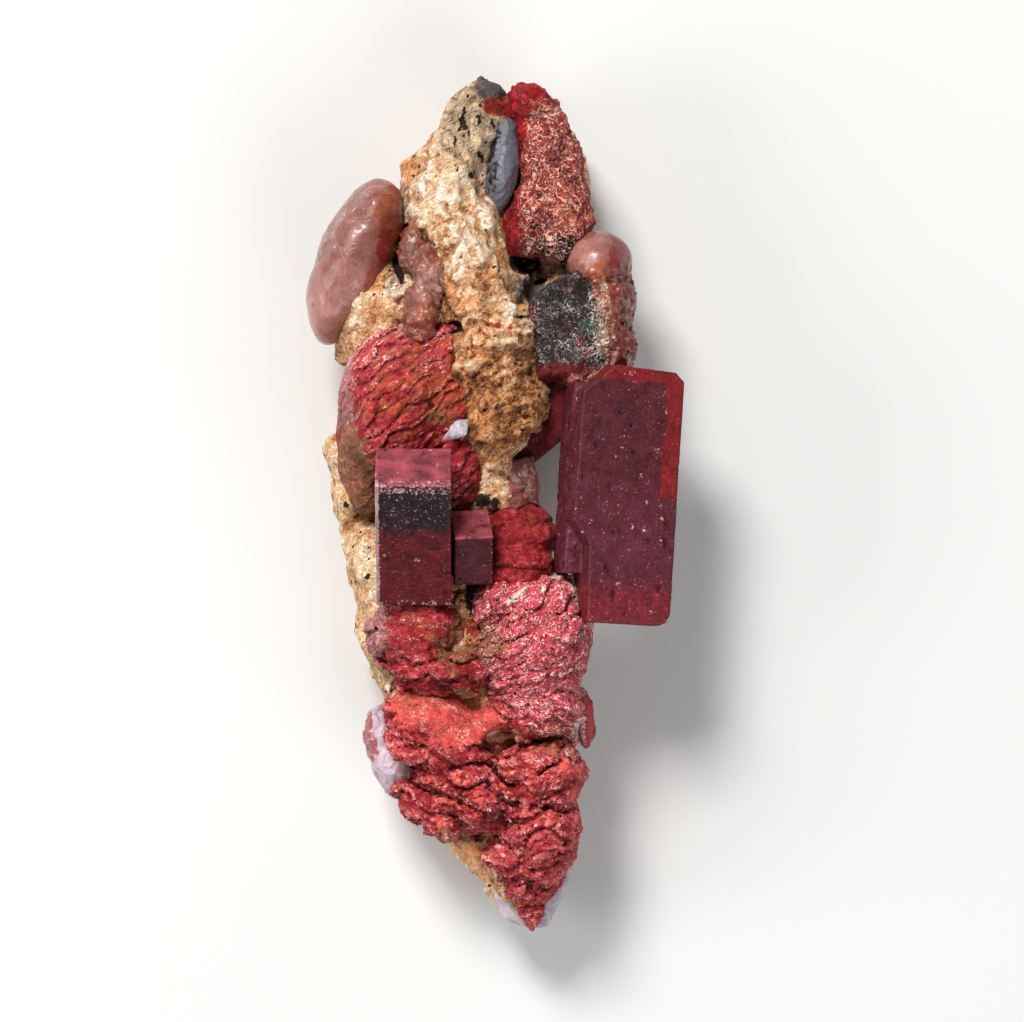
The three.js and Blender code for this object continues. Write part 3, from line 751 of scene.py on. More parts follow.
# The square prisms lean forward, so that their upper ends show above their faces.
PRISM = (7.4, 14.2, 6.8)
for name, node, size, at, turn in (
    ("square_prism", "apophyllite_prism", PRISM, PRISM_AT, (33, 0, 0)),
    ("small_square_prism", "apophyllite_small_prism", (3.8, 5.6, 5.0), (-2.35, -4.3, 19.6), (33, 6, -1)),
):
    prism = tablet(rectangle(size[0], size[1]), size[2], at, turn, 0.1)
    points, quads = skin(prism, crystal_relief, 0.17, 0.5)
    local = (points - at) @ turned(turn)
    big = name == "square_prism"
    top = ramp(local[:, 1], size[1] / 2 - 0.25, size[1] / 2 - 0.08)
    down = size[1] / 2 - local[:, 1]
    ragged = noise(points, 0.7, 41)
    band = big * ramp(down + 0.4 * ragged, 0.2, 0.8) * ramp(down + 0.7 * ragged, 5.5, 4.7)
    right = ramp(local[:, 0], size[0] / 2 - 0.2, size[0] / 2 - 0.05)
    # The lighter line along the top edge of the front face and the thin pale line down the left edge are
    # painted glints. The lower edge and the small prism's right edge are paler.
    top_edge_glint = ramp(np.abs(down - 0.5), 0.9, 0.2) * ramp(local[:, 2], 2.0, 2.8)
    left_edge_glint = ramp(local[:, 0], -size[0] / 2 + 0.45, -size[0] / 2 + 0.15) * ramp(local[:, 2], 2.2, 2.9)
    lower_edge = ramp(local[:, 1], -size[1] / 2 + 0.9, -size[1] / 2 + 0.2) * ramp(ragged, -0.2, 0.3)
    glints_and_pale_rims = 0.36 * top_edge_glint + 1.2 * left_edge_glint + 0.6 * lower_edge if big else 0.15 * right
    piece(name, node, points, quads, crystal_marks(points, {
        # The top face is painted lighter and mauve: painted light from above.
        "tone": 0.28 + (0.16 + 0.3 * noise(points, 1.6, 43)) * top + 0.2 * right + 0.3 * band * ragged,
        "mauve": (1.0 if big else 0.7) * top + 0.3 * right,
        "band": band * (0.95 + 0.4 * ragged),
        "bright": (0.5 + 0.05 * ragged) * (1 - top) * ramp(down, 4, 6) + 0.3 * right,
        "frost": 0.08 * band * (1 + ragged) + glints_and_pale_rims,
    }), crystal_material)

# The strut behind, and the thin crystal at the right edge lower down.
strut = tablet(rectangle(10.6, 5.0), 5.4, (6.2, 9.2, 12.0), (8, -10, 40), 0.2)
sliver = lump((9.0, -21.6, 11.0), (1.2, 3.3, 4.0), (0, 0, 4))


def chipped(p):
    """The relief of the thin crystal, whose edge is broken."""
    return 0.3 * noise(p, 1.6, 46) + 0.16 * ridged(p, 0.9, 47) - 0.35


for name, node, shape, relief, own_marks in (
    ("dark_strut_crystal", "dark_strut", strut, crystal_relief,
     lambda p: {"tone": 0.3, "bright": 0.6 + 0.4 * noise(p, 1.5, 45), "night": 0.2}),
    ("thin_crystal", "right_sliver", sliver, chipped,
     lambda p: {"tone": 0.9, "bright": 1.2 + 0.4 * noise(p, 1.5, 45),
                "frost": 0.7 * ramp(p[:, 0], 9.3, 8.8)}),
):
    points, quads = skin(shape, relief, 0.22, 1.0)
    marks = crystal_marks(points, own_marks(points))
    piece(name, node, points, quads, marks, crystal_material)

# The stilbite.
# Red sheaves and shelves: bundles of thin blades grown side by side, which end in scalloped ledges one
# below the other. The ledges' fronts are sugary, with pale grains, and the creases under them are painted
# shade.


def fanned(hinge, degrees):
    """Ledges that fan out from a hinge, one every so many degrees. Their step is taken 10 mm out."""
    step_at = 10

    def place(p):
        x, y = p[:, 0] - hinge[0], p[:, 1] - hinge[1]
        across = -np.degrees(np.arctan2(y, x)) / degrees
        return across, np.hypot(x, y), step_at * math.radians(degrees)

    return place


def ledge_parts(p, ledges, seed, wide, drawn=0.8):
    """Ledges in parts.

    Returned are the relief of the big ledges and of the finer ones on them, the places that the sugar's
    grain follows, how the ledges wander, how far down its ledge each point is, and its petal's number.
    """
    across, along, step = ledges(p)
    wander = noise(p, 3.0, seed)
    base = across + 0.4 * wander + 0.16 * noise(p, 1.3, seed + 1)
    down, aside, own = petals(base, along + 1.2 * noise(p, 4.0, seed + 3), wide * step, seed)
    big = ramp(down, -0.25, 0.7) * (0.7 + 0.6 * own) - 0.25 * aside**3 - 0.5
    fine_base = base * 3 + 0.5 * noise(p, 1.0, seed + 2)
    fine_down, aside, fine_own = petals(fine_base, along, 0.45 * wide * step, seed + 9)
    fine = ramp(fine_down, -0.3, 0.7) * (0.6 + 0.6 * fine_own) - 0.3 * aside**3 - 0.5
    threads = np.stack([along * drawn, across * step, p[:, 2] * 0.8], 1)
    return big, fine, threads, wander, down, own


def stilbite_piece(name, node, shape, ledges, drop, seed, extra, rough=0.5, grainy=1.0, wide=2.4,
                   smooth=None, dent=None, cell=(0.2, 0.2, 0.3), drawn=0.8):
    """A sheaf or shelf.

    drop is how deep its ledges are, rough how uneven it is between them, and grainy how coarse its sugar
    is. wide is the width of its petals in ledges. smooth gives where its ledges run out, dent how deep it
    is hollowed, drawn how fine its sugar is along them, and extra what is added to its marks.
    """

    def relief(p):
        big, fine, _, wander, _, _ = ledge_parts(p, ledges, seed, wide)
        sharp = 1 - (smooth(p) if smooth else 0)
        uneven = rough * wander + 0.12 * noise(p, 0.8, seed + 4)
        return (drop * big + 0.46 * drop * fine) * sharp + uneven - (dent(p) if dent else 0)

    points, quads = skin(shape, relief, cell)
    out = out_of(points, quads)
    big, fine, threads, wander, down, petal = ledge_parts(points, ledges, seed, wide, drawn)
    small, own = grains(threads, 0.42, seed)
    plain = smooth(points) if smooth else np.zeros(len(points))
    sugar = grainy * (1 - 0.7 * plain) * (0.14 * (0.55 - small) + 0.07 * (own - 0.5))
    points = points + out * sugar[:, None]
    # The tone is painted lighter on the ledges' lips and high places and on faces that turn towards the
    # upper end, where the light comes from, and darker in the gaps between the grains: painted light and
    # shade. The grains' and petals' own shades are real.
    tone = 0.42 + (0.14 * big + 0.16 * fine) * (1 - 0.8 * plain) + 0.10 * out[:, 1] + 0.06 * wander
    tone = (tone + 0.18 * (own - 0.5) - 0.22 * ramp(small, 0.5, 0.9) * (1 - 0.6 * plain)
            + 0.10 * (petal - 0.5))
    none = np.zeros(len(points))
    marks = {
        "tone": tone,
        # The pale grains are real, and they are laid thicker towards each lip as painted light.
        "sugar": 0.10 * ramp(down, 0.5, 0.9) + 0.16 * (own - 0.5) + 0.12 * noise(points, 1.8, seed + 6),
        # The crease under each lip is painted dark as shade; the scattered dark spots are real.
        "night": 0.75 * ramp(down, 0.22, 0.03) * (1 - plain)
        + 0.7 * ramp(noise(points, 0.75, seed + 8), 0.5, 0.65),
        "tan": none, "crimson": none, "coral": none, "mauve": none, "rust": none, "chalk": none,
    }
    for mark, value in extra(points, out).items():
        marks[mark] = marks[mark] + value
    piece(name, node, points, quads, marks, stilbite_material, threads)


stilbite_material = mineral(
    "red_stilbite",
    [(80, 4, 8), (132, 18, 24), (174, 44, 50), (210, 84, 86), (246, 176, 172)],
    [("rust", (164, 66, 42), "coarse", 0.35), ("crimson", (172, 50, 66), "coarse", 0.35),
     ("coral", (208, 80, 72), "coarse", 0.35), ("mauve", (166, 104, 104), "coarse", 0.3),
     ("tan", (146, 88, 56), "coarse", 0.4), ("chalk", (196, 176, 166), "fine", 0.4),
     ("night", (70, 6, 8), "fine", 0.25), ("sugar", (244, 190, 184), "net", 0.45)],
    grain=0.26, mottle=0.40, net=0.16, sparkle=0.24, roughness=(0.5, 0.85), bump=0.9,
    settings={"Specular IOR Level": 0.3, "Subsurface Weight": 0.1, "Subsurface Radius": (1.0, 0.25, 0.2),
              "Subsurface Scale": 0.0006},
)

stilbite_piece("upper_left_sheaf", "upper_sheaf", joined([
    lump((-9.8, 10.0, 12.6), (5.9, 8.0, 8.6), (0, 0, -6)),
    lump((-5.4, 14.4, 15.6), (1.9, 3.6, 3.8), (0, 0, -16)),
    lump((-4.4, 9.4, 15.8), (2.2, 3.4, 4.0)),
    lump((-13.4, 4.4, 10.6), (2.4, 5.6, 4.6), (0, 0, 10)),
    lump((-3.4, 3.4, 14.6), (2.2, 4.6, 4.4), (0, 0, 6)),
], 0.8), parallel(36, 1.25), drop=0.38, rough=0.4, seed=60, grainy=1.2, wide=5.0, drawn=0.5,
    smooth=lambda p: np.maximum(0.85 * ramp(p[:, 0] + 0.12 * p[:, 1], -11.2, -13),
                                0.6 * ramp(p[:, 1], 5, 3) * ramp(p[:, 0], -10, -12)),
    extra=lambda p, out: {
    "tone": 0.06 * ramp(p[:, 1], 8, 14) - 0.16 * patch(p, (-3, 3), (2.6, 4))
    + 0.06 * patch(p, (-8, 7), (5, 2)),
    "rust": 0.6 * patch(p, (-8, 12), (8, 8)) + 0.4 * patch(p, (-5, 10), (3, 3)),
    "mauve": 0.75 * ramp(p[:, 0], -12.4, -15.2) * ramp(p[:, 1], 4, 9)
    + 0.35 * patch(p, (-9.6, 16.6), (5, 2.6)),
    "tan": 1.1 * patch(p, (-14.2, 2), (3.2, 8), 8) + 0.4 * patch(p, (-5.6, 8.4), (1.8, 1.8)),
    "sugar": -0.04 + 0.1 * ramp(p[:, 1], 10, 15),
    "night": 0.9 * patch(p, (-6.3, 9.8), (0.5, 0.5)),
})
stilbite_piece("right_side_sheaf", "right_sheaf", joined([
    lump((4.2, -13.8, 13.6), (5.9, 7.4, 8.2), (0, 0, -20)),
    lump((1.6, -9.6, 14.6), (4.2, 3.2, 6.0), (0, 0, 24)),
    lump((4.4, -20.0, 13.4), (5.0, 3.2, 6.8), (0, 0, -8)),
    lump((7.2, -22.6, 11.6), (1.8, 1.7, 3.4)),
], 0.8), fanned((-6.0, -19.0), 7.0), drop=0.5, rough=0.35, seed=70, grainy=1.4, drawn=0.65,
    dent=lambda p: 0.5 * ramp(p[:, 0], 7.6, 9.4),
    smooth=lambda p: 0.6 * ramp(p[:, 0], 8.0, 9.6), extra=lambda p, out: {
    "tone": 0.13 - 0.10 * ramp(p[:, 0], 3, -3),
    "crimson": 0.62 + 0.1 * noise(p, 3, 71),
    "sugar": 0.14,
    "tan": 0.9 * patch(p, (-1.6, -14), (3.6, 3)) + 0.5 * patch(p, (5.6, -22.4), (3.4, 1.8)),
    "chalk": 1.1 * patch(p, (2.2, -9.1), (1.8, 0.5), 38) + patch(p, (6.2, -7), (1.2, 0.6), 20)
    + patch(p, (8.6, -9), (1.2, 2.6), 30) + 0.9 * patch(p, (8.6, -22.6), (1.4, 1.6))
    + 0.5 * ramp(p[:, 0], 8.2, 9.4) * ramp(noise(p, 1.2, 72), 0, 0.4),
})
stilbite_piece("left_side_sheaf", "left_sheaf", joined([
    lump((-7.8, -13.0, 13.8), (4.7, 4.2, 6.4), (0, 0, 8)),
    lump((-5.4, -16.6, 14.0), (5.0, 2.4, 6.6), (0, 0, -6)),
], 0.8), parallel(-6, 1.8), drop=0.8, rough=0.45, seed=80, grainy=1.3,
    smooth=lambda p: 0.8 * patch(p, (-7.6, -12.6), (6, 4)), extra=lambda p, out: {
    "mauve": 0.7 * ramp(p[:, 0], -9.4, -11.6) * ramp(p[:, 1], -17.5, -14),
    "rust": 0.45 * patch(p, (-6.5, -12), (5, 3)),
    "tan": 0.9 * patch(p, (-4, -14), (2.6, 3.4)) + 0.9 * patch(p, (-3.2, -19.2), (2.4, 1.4)),
})
stilbite_piece("middle_steps", "middle_sheaf", joined([
    lump((2.4, -2.8, 13.4), (3.7, 3.1, 5.0), (0, 0, -8)),
    lump((1.8, -6.4, 14.4), (3.9, 3.0, 5.6), (0, 0, 2)),
], 0.4), parallel(4, 2.2), drop=0.55, rough=0.25, seed=90, grainy=0.6, wide=5.0,
    smooth=lambda p: 0.25 + 0.65 * patch(p, (1.6, -3.6), (4, 2.6)), extra=lambda p, out: {
    "tone": -0.05, "sugar": -0.15, "crimson": 0.25, "rust": 0.6 * patch(p, (3.6, -1.6), (2.4, 1.6))})
stilbite_piece("wide_shelf", "broad_shelf", joined([
    lump((-5.4, -22.8, 13.2), (5.8, 4.2, 6.6), (0, 0, -24)),
    lump((0.6, -21.4, 13.4), (4.6, 2.0, 5.4), (0, 0, 6)),
], 0.8), parallel(-24, 2.1), drop=1.1, seed=100, grainy=1.9,
    dent=lambda p: 1.5 * patch(p, (0.3, -23.5), (2.4, 1.3), 28),
    smooth=lambda p: ramp(patch(p, (-4.6, -21), (6.4, 2.6), -14), 0, 0.5), extra=lambda p, out: {
    # The patch at (-1.6, -22.6) on the lip above the pocket is a painted soft highlight.
    "tone": 0.06 + 0.06 * ramp(p[:, 1], -24, -20) + 0.2 * patch(p, (-1.6, -22.6), (4.2, 1.2), 30),
    "coral": 0.7 * ramp(patch(p, (-4.6, -21), (7, 3.2), -14), 0, 0.6) + 0.25,
    # The pocket sunk by the dent is painted dark as shade.
    "night": 1.0 * patch(p, (-0.2, -23.7), (2.2, 1.0), 28),
    "tan": 1.1 * patch(p, (1.6, -23.2), (1.8, 1.4)) + 0.5 * patch(p, (-8, -19.4), (3, 1.4)),
})
stilbite_piece("round_rosette", "rosette", lump((2.9, -26.2, 16.2), (2.2, 1.8, 3.4)), parallel(0, 1.2),
               drop=0.6, rough=0.3, seed=110, extra=lambda p, out: {"tone": 0.08, "coral": 0.3})
stilbite_piece("stepped_shelf", "lower_shelf", joined([
    lump((-1.6, -28.6, 12.8), (5.8, 3.4, 6.4), (0, 0, -20)),
    lump((-5.6, -30.4, 10.2), (5.2, 2.7, 5.4), (0, 0, -26)),
], 0.8), parallel(-24, 2.2), drop=1.15, seed=120, grainy=2.0,
    dent=lambda p: 0.5 * ramp(p[:, 1] + 0.42 * p[:, 0], -32.4, -35.0),
    smooth=lambda p: 0.4 * ramp(p[:, 0], -8.6, -10), extra=lambda p, out: {
    "tone": 0.05, "coral": 0.35, "tan": 1.2 * patch(p, (-3, -34.4), (3.6, 1.6), -32)})
stilbite_piece("lower_right_ledges", "lower_right_sheaf", joined([
    lump((5.4, -27.2, 13.0), (4.6, 3.4, 7.0), (0, 0, 10)),
    lump((4.9, -32.0, 12.2), (4.5, 3.4, 6.8)),
], 0.8), parallel(6, 2.4), drop=1.15, seed=130, grainy=2.0,
    dent=lambda p: 0.9 * ramp(p[:, 0], 6.8, 9.2),
    smooth=lambda p: 0.65 * ramp(p[:, 0], 7.2, 9.0), extra=lambda p, out: {
    "tone": 0.13, "coral": 0.3, "crimson": 0.3,
    "tan": 0.7 * patch(p, (6, -23.6), (4, 1.6)),
})
stilbite_piece("foot_ledges", "foot_sheaf", joined([
    lump((4.0, -35.0, 10.6), (4.8, 2.6, 5.8)),
    lump((4.0, -37.6, 9.2), (3.8, 2.4, 4.6)),
], 0.6), parallel(-4, 2.0), drop=0.9, rough=0.4, seed=140, grainy=1.9,
    dent=lambda p: 0.9 * ramp(p[:, 0] - 0.5 * (p[:, 1] + 36), 6.6, 8.4),
    smooth=lambda p: 0.65 * ramp(p[:, 0], 6.0, 7.6), extra=lambda p, out: {"rust": 0.2, "tone": 0.13})
stilbite_piece("red_foot_wedge", "foot_wedge",
               tablet([(-1.6, 2.4), (-1.1, -1.6), (0, -2.9), (1.1, -1.6), (1.8, 2.4)], 5.2,
                      (3.7, -39.7, 8.4), (0, 0, 0), 0.4),
               parallel(0, 1.4), drop=0.2, rough=0.2, seed=150, cell=0.18,
               extra=lambda p, out: {"rust": 0.4, "tone": -0.05})

# The pale crystals.
# Milky pink, glossy lobes, buds and knobs: stilbite without the red crust, clear enough for the light
# to go in. Orange and red stains sit in their hollows and along their edges.


def pale_relief(p):
    """The soft bumps of a pale crystal."""
    return 0.32 * noise(p, 3.2, 160) + 0.06 * noise(p, 0.9, 161) + 0.02 * noise(p, 0.4, 162)


pale_material = mineral(
    "pale_stilbite",
    [(86, 34, 26), (124, 68, 56), (154, 100, 90), (184, 136, 126), (226, 194, 186)],
    [("orange", (160, 78, 46), "coarse", 0.3), ("red", (140, 34, 32), "fine", 0.2),
     ("frost", (236, 212, 190), "net", 0.45)],
    grain=0.34, mottle=0.16, net=0.02, sparkle=0.05, roughness=(0.22, 0.42), bump=0.3,
    settings={"Subsurface Weight": 0.4, "Subsurface Radius": (1.0, 0.45, 0.35), "Subsurface Scale": 0.0014,
              "Coat Weight": 0.4, "Coat Roughness": 0.15, "IOR": 1.5},
)


def pale_piece(name, node, shape, tone, orange=0.0, red=0.0, cell=(0.24, 0.24, 0.34), marked=None,
               rough=None, knobby=0.0):
    """A pale crystal. rough gives how sugary it is, knobby how lumpy, marked what is added to its marks."""

    def relief(p):
        result = pale_relief(p)
        if rough:
            result = result + rough(p) * (0.25 * ridged(p, 1.0, 167) + 0.15 * ridged(p, 0.6, 168))
        if knobby:
            result = result + knobby * (0.6 - grains(p, 1.5, 170)[0])
        return result

    points, quads = skin(shape, relief, cell)
    out = out_of(points, quads)
    spots, own = grains(points, 1.0, 165)
    # The tone rises with the soft bumps' height: painted light on their crests and painted shade in their
    # hollows.
    marks = {
        "tone": tone + 0.14 * noise(points, 1.8, 163) + 0.2 * pale_relief(points),
        "orange": orange + 0.25 * noise(points, 1.8, 164),
        "red": red + 0.25 * noise(points, 1.5, 166),
        # Spots on faces that turn towards the upper end, where the light comes from, are painted glints; the
        # rough crust's share is real frost.
        "frost": 0.5 * ramp(spots, 0.3, 0.15) * (own > 0.6) * ramp(out[:, 1], 0, 0.5)
        + 0.08 * (rough(points) if rough else 0),
    }
    for mark, value in (marked(points, out) if marked else {}).items():
        marks[mark] = marks[mark] + value
    piece(name, node, points, quads, marks, pale_material)


pale_piece("pale_lobe_crystal", "pale_lobe", joined([
    lump((-14.0, 24.6, 11.4), (3.9, 7.8, 5.6), (0, 0, -24)),
    lump((-16.2, 20.8, 10.8), (2.5, 4.7, 4.8), (0, 0, -10)),
    lump((-12.0, 29.2, 11.6), (2.8, 3.4, 5.0), (0, 0, -24)),
], 0.8), tone=0.30, marked=lambda p, out: {
    "orange": 0.6 * ramp(p[:, 0] + 0.5 * p[:, 1], 1.2, 3.6) + 0.3 * ramp(out[:, 0], 0.3, 0.9),
    "red": 0.55 * ramp(out[:, 0], 0.3, 0.8) + 0.4 * ramp(np.abs(noise(p, 2.8, 190)), 0.08, 0.01),
    "tone": 0.26 * ramp(p[:, 1] - 0.3 * p[:, 0], 30, 24),
    "frost": 0.35 * ramp(noise(p, 1.4, 169), 0.1, 0.5) * ramp(out[:, 0], -0.2, -0.7) * ramp(p[:, 1], 24, 28),
})
pale_piece("pink_buds", "buds", joined([
    lump((-8.2, 25.4, 15.4), (1.1, 2.4, 2.6), (0, 0, 4)),
    lump((-6.4, 23.0, 17.0), (1.4, 2.8, 2.6), (0, 0, 14)),
    lump((-7.2, 19.2, 16.8), (1.6, 3.2, 2.8), (0, 0, -10)),
], 0.4), tone=0.34, orange=0.1, red=0.2, cell=(0.2, 0.2, 0.3), rough=lambda p: 0.7, knobby=0.8,
    marked=lambda p, out: {
    "orange": 0.45 * ramp(p[:, 1], 21.6, 19) + 0.4 * ramp(p[:, 0], -7.4, -8.4) * ramp(p[:, 1], 23, 24),
    "red": 0.4 * ramp(p[:, 1], 22, 25) * ramp(p[:, 0], -8, -6.5) + 0.25 * ramp(p[:, 1], 20, 18),
    "tone": -0.1 * ramp(p[:, 0], -7.4, -8.6) + 0.15 * patch(p, (-6.2, 22.4), (1.4, 2.4))})
pale_piece("pale_gap_wedge", "pale_wedge",
           tablet([(-1.9, 1.6), (-1.3, -0.6), (0.4, -2.4), (1.7, -2.6), (1.9, 0.4), (1.3, 2.6)], 6.6,
                  (2.2, 2.0, 12.2), (-10, 8, 0), 0.4), tone=0.0, red=0.5, cell=0.2)
pale_piece("right_edge_knobs", "right_knobs", joined([
    lump((10.3, 24.3, 12.6), (3.3, 3.1, 5.2)),
    lump((11.2, 20.0, 12.0), (2.6, 3.6, 5.4)),
    lump((11.3, 15.6, 12.2), (2.6, 3.4, 5.4)),
    lump((9.4, 12.4, 13.6), (3.4, 1.6, 4.4), (0, 0, -8)),
], 0.8), tone=0.16, rough=lambda p: 1.3 * ramp(p[:, 1], 24.5, 22.0), cell=(0.22, 0.22, 0.3),
    marked=lambda p, out: {
    "tone": 0.34 * patch(p, (9.4, 25), (3, 2.6)) + 0.08,
    "orange": 1.3 * patch(p, (10.6, 19.8), (3.2, 5.0)),
    "red": 0.5 * ramp(p[:, 1], 19, 15) + 0.7 * ramp(out[:, 0], 0.1, 0.6) * ramp(p[:, 0], 10, 12)
    + 0.2 * noise(p, 1.2, 173),
    # The small patch at (8.8, 26) on the top knob is a painted glint; the net lower down is real.
    "frost": -0.15 - 0.3 * ramp(patch(p, (9.4, 25), (3.2, 2.8)), 0, 0.4)
    + 0.5 * patch(p, (8.8, 26), (1.4, 0.8))
    + 0.6 * patch(p, (10.4, 17), (1.5, 6.4)) * (1 + noise(p, 0.8, 174)),
})

# The crusted blade and the drusy block.
# A broad red blade under a net of fine white crystals, and a dark block below it whose face glitters
# with a coat of crystals a few tenths of a millimetre long.


def druse_relief(p):
    """The relief of a coat of small crystals."""
    small = grains(p, 0.8, 170)[0]
    return 0.5 * noise(p, 2.2, 171) + 0.35 * (0.6 - small) + 0.2 * noise(p, 0.8, 172)


def crusted_piece(name, node, shape, material, extra):
    """A crystal under a coat of small ones. extra gives what is added to its marks."""
    points, quads = skin(shape, druse_relief, (0.2, 0.2, 0.3))
    out = out_of(points, quads)
    small, own = grains(points, 0.4, 175)
    points = points + out * (0.16 * (0.6 - small))[:, None]
    # The tone rises with the coat's relief, and the tone and the dark mark deepen in the gaps between the
    # small crystals: painted light and shade.
    marks = {
        "tone": 0.36 + 0.30 * druse_relief(points) + 0.2 * (own - 0.5) - 0.2 * ramp(small, 0.5, 0.9),
        "web": 0.16 * noise(points, 1.6, 176) + 0.1 * (own - 0.5),
        "red": np.zeros(len(points)),
        "orange": np.zeros(len(points)),
        "green": np.zeros(len(points)),
        "dark": ramp(small, 0.6, 0.9) * 0.1,
    }
    for mark, value in extra(points, out).items():
        marks[mark] = marks[mark] + value
    piece(name, node, points, quads, marks, material)


blade = joined([
    tablet([(-4.2, -7.8), (-0.2, -8.4), (3.2, -6.8), (4.2, -4.6), (3.6, -1.6), (2.8, 2.0), (1.6, 4.8),
            (0.6, 7.2), (-1.2, 8.6), (-3.2, 8.8), (-4.0, 7.4), (-2.8, 3.0), (-3.2, -0.6), (-4.4, -4.2)], 8.4,
           (5.1, 33.0, 11.6), (0, 10, 0), 1.2),
    lump((3.2, 39.4, 12.2), (2.2, 2.0, 3.6)),
    lump((6.4, 29.6, 13.2), (2.9, 5.4, 3.8), (0, 0, 6)),
    lump((5.0, 35.6, 13.2), (2.5, 4.0, 3.4), (0, 0, 12)),
], 1.0)
crusted_piece("crusted_red_blade", "crusted_blade", blade, mineral(
    "crusted_red", [(84, 10, 10), (136, 34, 28), (174, 68, 54), (206, 116, 98), (238, 182, 166)],
    [("orange", (192, 84, 52), "coarse", 0.4), ("red", (168, 18, 26), "coarse", 0.2),
     ("dark", (40, 18, 18), "fine", 0.2), ("web", (232, 172, 154), "net", 0.42)],
    grain=0.42, mottle=0.45, net=0.25, sparkle=0.25, roughness=(0.4, 0.8), bump=0.9,
    settings={"Specular IOR Level": 0.35},
), lambda p, out: {
    "red": ramp(p[:, 0] - 0.16 * np.maximum(p[:, 1] - 33, 0), 2.9, 1.9) + 0.9 * ramp(p[:, 1], 39.4, 41)
    + 0.6 * ramp(out[:, 0], 0.5, 0.9),
    "orange": 0.8 * patch(p, (7.2, 28.4), (3.6, 3.4)) + 0.5 * patch(p, (5.6, 40), (3, 2)),
    "web": 0.46 * ramp(p[:, 0] - 0.16 * np.maximum(p[:, 1] - 33, 0), 2.0, 3.2) * ramp(p[:, 1], 41.4, 39.4)
    * ramp(out[:, 0], 0.9, 0.5),
    "dark": 0.9 * patch(p, (6.6, 25.6), (4, 1.9), -12),
})
block = tablet([(-3.4, -5.2), (3.0, -5.4), (4.0, -1.0), (3.6, 3.6), (1.0, 5.4), (-1.8, 4.4), (-3.8, 2.4)],
               8.2, (7.2, 17.6, 13.4), (-4, 6, 2), 0.9)
crusted_piece("dark_drusy_block", "drusy_block", block, mineral(
    "dark_druse", [(10, 5, 7), (32, 20, 22), (58, 42, 46), (98, 80, 82), (176, 160, 160)],
    [("red", (118, 20, 26), "coarse", 0.35), ("orange", (156, 116, 88), "coarse", 0.35),
     ("green", (52, 84, 66), "coarse", 0.3), ("dark", (12, 8, 9), "fine", 0.2),
     ("web", (204, 190, 182), "net", 0.5)],
    grain=0.36, mottle=0.5, net=0.2, sparkle=0.25, roughness=(0.25, 0.7), bump=0.9,
    settings={"Specular IOR Level": 0.4},
), lambda p, out: {
    "red": 1.1 * ramp(p[:, 1], 14.6, 13.4) + 0.45 * ramp(noise(p, 1.6, 178), 0.1, 0.5)
    + 0.7 * ramp(p[:, 0], 4.4, 3.8) * ramp(p[:, 1], 21, 19),
    "orange": 0.3 * patch(p, (6.8, 21.6), (2.6, 2.2)) + 0.6 * ramp(p[:, 0], 9.4, 10.4),
    "green": 0.8 * patch(p, (9.4, 17.6), (1.2, 1.6)),
    "web": 0.08 + 0.4 * ramp(p[:, 0], 8.8, 10.6) - 0.25 * ramp(p[:, 1], 14.2, 12.8)
    - 0.1 * patch(p, (8, 21.6), (2.4, 2.4)),
})

# The clear crystals.
# Quartz beside the horn, a flake caught under the upper sheaf, the slips at the foot and the crystal at
# the lower left edge. They are clear to milky, and see-through where they are thin.


def clear_material(name, tint, through, milky, roughness):
    """A clear mineral. through is how much light it lets through, and milky how much it scatters."""
    shade = tuple(c * 0.6 for c in tint)
    shine = tuple(min(255, c * 1.12) for c in tint)
    return mineral(
        name, [shade, tint, shine],
        [("dark", (36, 30, 34), "fine", 0.3), ("red", (166, 54, 60), "fine", 0.15)],
        grain=0.4, mottle=0.3, net=0.05, sparkle=0.1, roughness=(roughness, roughness + 0.2), bump=0.3,
        settings={"Transmission Weight": through, "IOR": 1.54, "Subsurface Weight": milky,
                  "Subsurface Radius": (1.0, 0.9, 0.95), "Subsurface Scale": 0.002},
    )


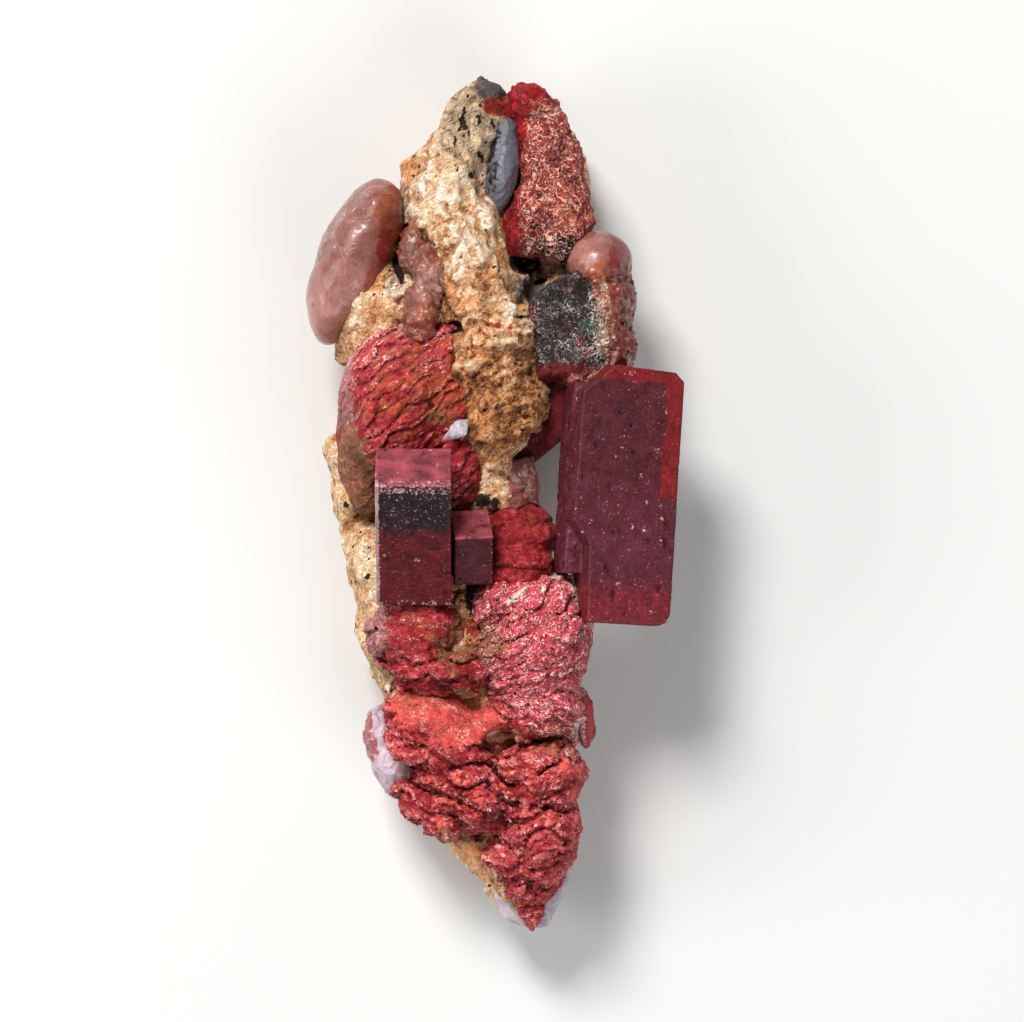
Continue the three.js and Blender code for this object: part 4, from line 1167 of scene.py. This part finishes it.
def clear_piece(name, node, shape, material, dark=None, red=None, chips=0.0, plate=None):
    """A clear crystal. chips is how high its chipped steps are, and plate a paler place on its front."""

    def relief(p):
        steps = chips * np.round(1.8 * noise(p, 2.0, 184))
        raised = 0.14 * ramp(plate(p), 0, 0.1) if plate else 0
        return 0.12 * noise(p, 1.4, 180) + 0.05 * noise(p, 0.5, 181) + steps + raised

    points, quads = skin(shape, relief, 0.18, 0.8)
    out = out_of(points, quads)
    zero = np.zeros(len(points))
    piece(name, node, points, quads, {
        "tone": 0.5 + 0.3 * noise(points, 1.0, 182) + (0.4 * ramp(plate(points), 0, 0.1) if plate else 0),
        "dark": dark(points, out) if dark else zero,
        "red": red(points, out) if red else zero,
    }, material)


clear_piece("quartz_lens_crystal", "quartz_lens",
            lump((0.5, 33.9, 13.4), (1.9, 5.0, 3.6), (0, 8, -8)),
            clear_material("grey_quartz", (122, 123, 135), 0.35, 0.2, 0.15),
            dark=lambda p, out: ramp(out[:, 0], -0.1, -0.6) * (0.6 + 0.8 * noise(p, 0.6, 183))
            + 0.9 * patch(p, (-0.4, 35.6), (0.5, 0.9), -30),
            chips=0.12, plate=lambda p: patch(p, (0.2, 37.0), (1.2, 1.8), -20))
milk = clear_material("milky_clear", (226, 214, 226), 0.5, 0.3, 0.15)
clear_piece("caught_flake", "clear_flake",
            tablet([(-1.4, -0.9), (0.9, -0.8), (1.4, 0.8), (0.2, 0.7), (-0.4, 0.3)], 0.9, (-3.9, 7.4, 20.0),
                   (-24, 10, 12), 0.12), milk)
clear_piece("left_foot_slip", "foot_clear_left",
            tablet([(-1.0, 3.4), (-1.5, 0.0), (-0.7, -2.4), (1.8, -3.3), (2.4, -2.6), (0.9, 0.0),
                    (0.6, 3.2)], 4.6, (1.3, -39.4, 6.8), (0, 0, 0), 0.4), milk)
clear_piece("right_foot_slip", "foot_clear_right",
            tablet([(-2.6, -3.4), (-0.6, -3.2), (1.2, 0.4), (2.0, 3.0), (0.6, 3.2), (-1.0, 0.4)], 4.4,
                   (5.9, -39.4, 7.4), (0, 0, 0), 0.4), milk)
clear_piece("lower_left_clear_crystal", "lower_left_crystal",
            lump((-10.4, -24.9, 9.8), (2.5, 4.8, 4.6), (0, 0, 16)),
            clear_material("lilac_clear", (216, 188, 202), 0.3, 0.35, 0.12),
            red=lambda p, out: ramp(out[:, 0], -0.45, -0.9) * (0.8 + 0.6 * noise(p, 1.6, 185))
            * ramp(p[:, 1], -28, -24),
            chips=0.2, plate=lambda p: patch(p, (-10.6, -25.8), (1.2, 1.4), 20))
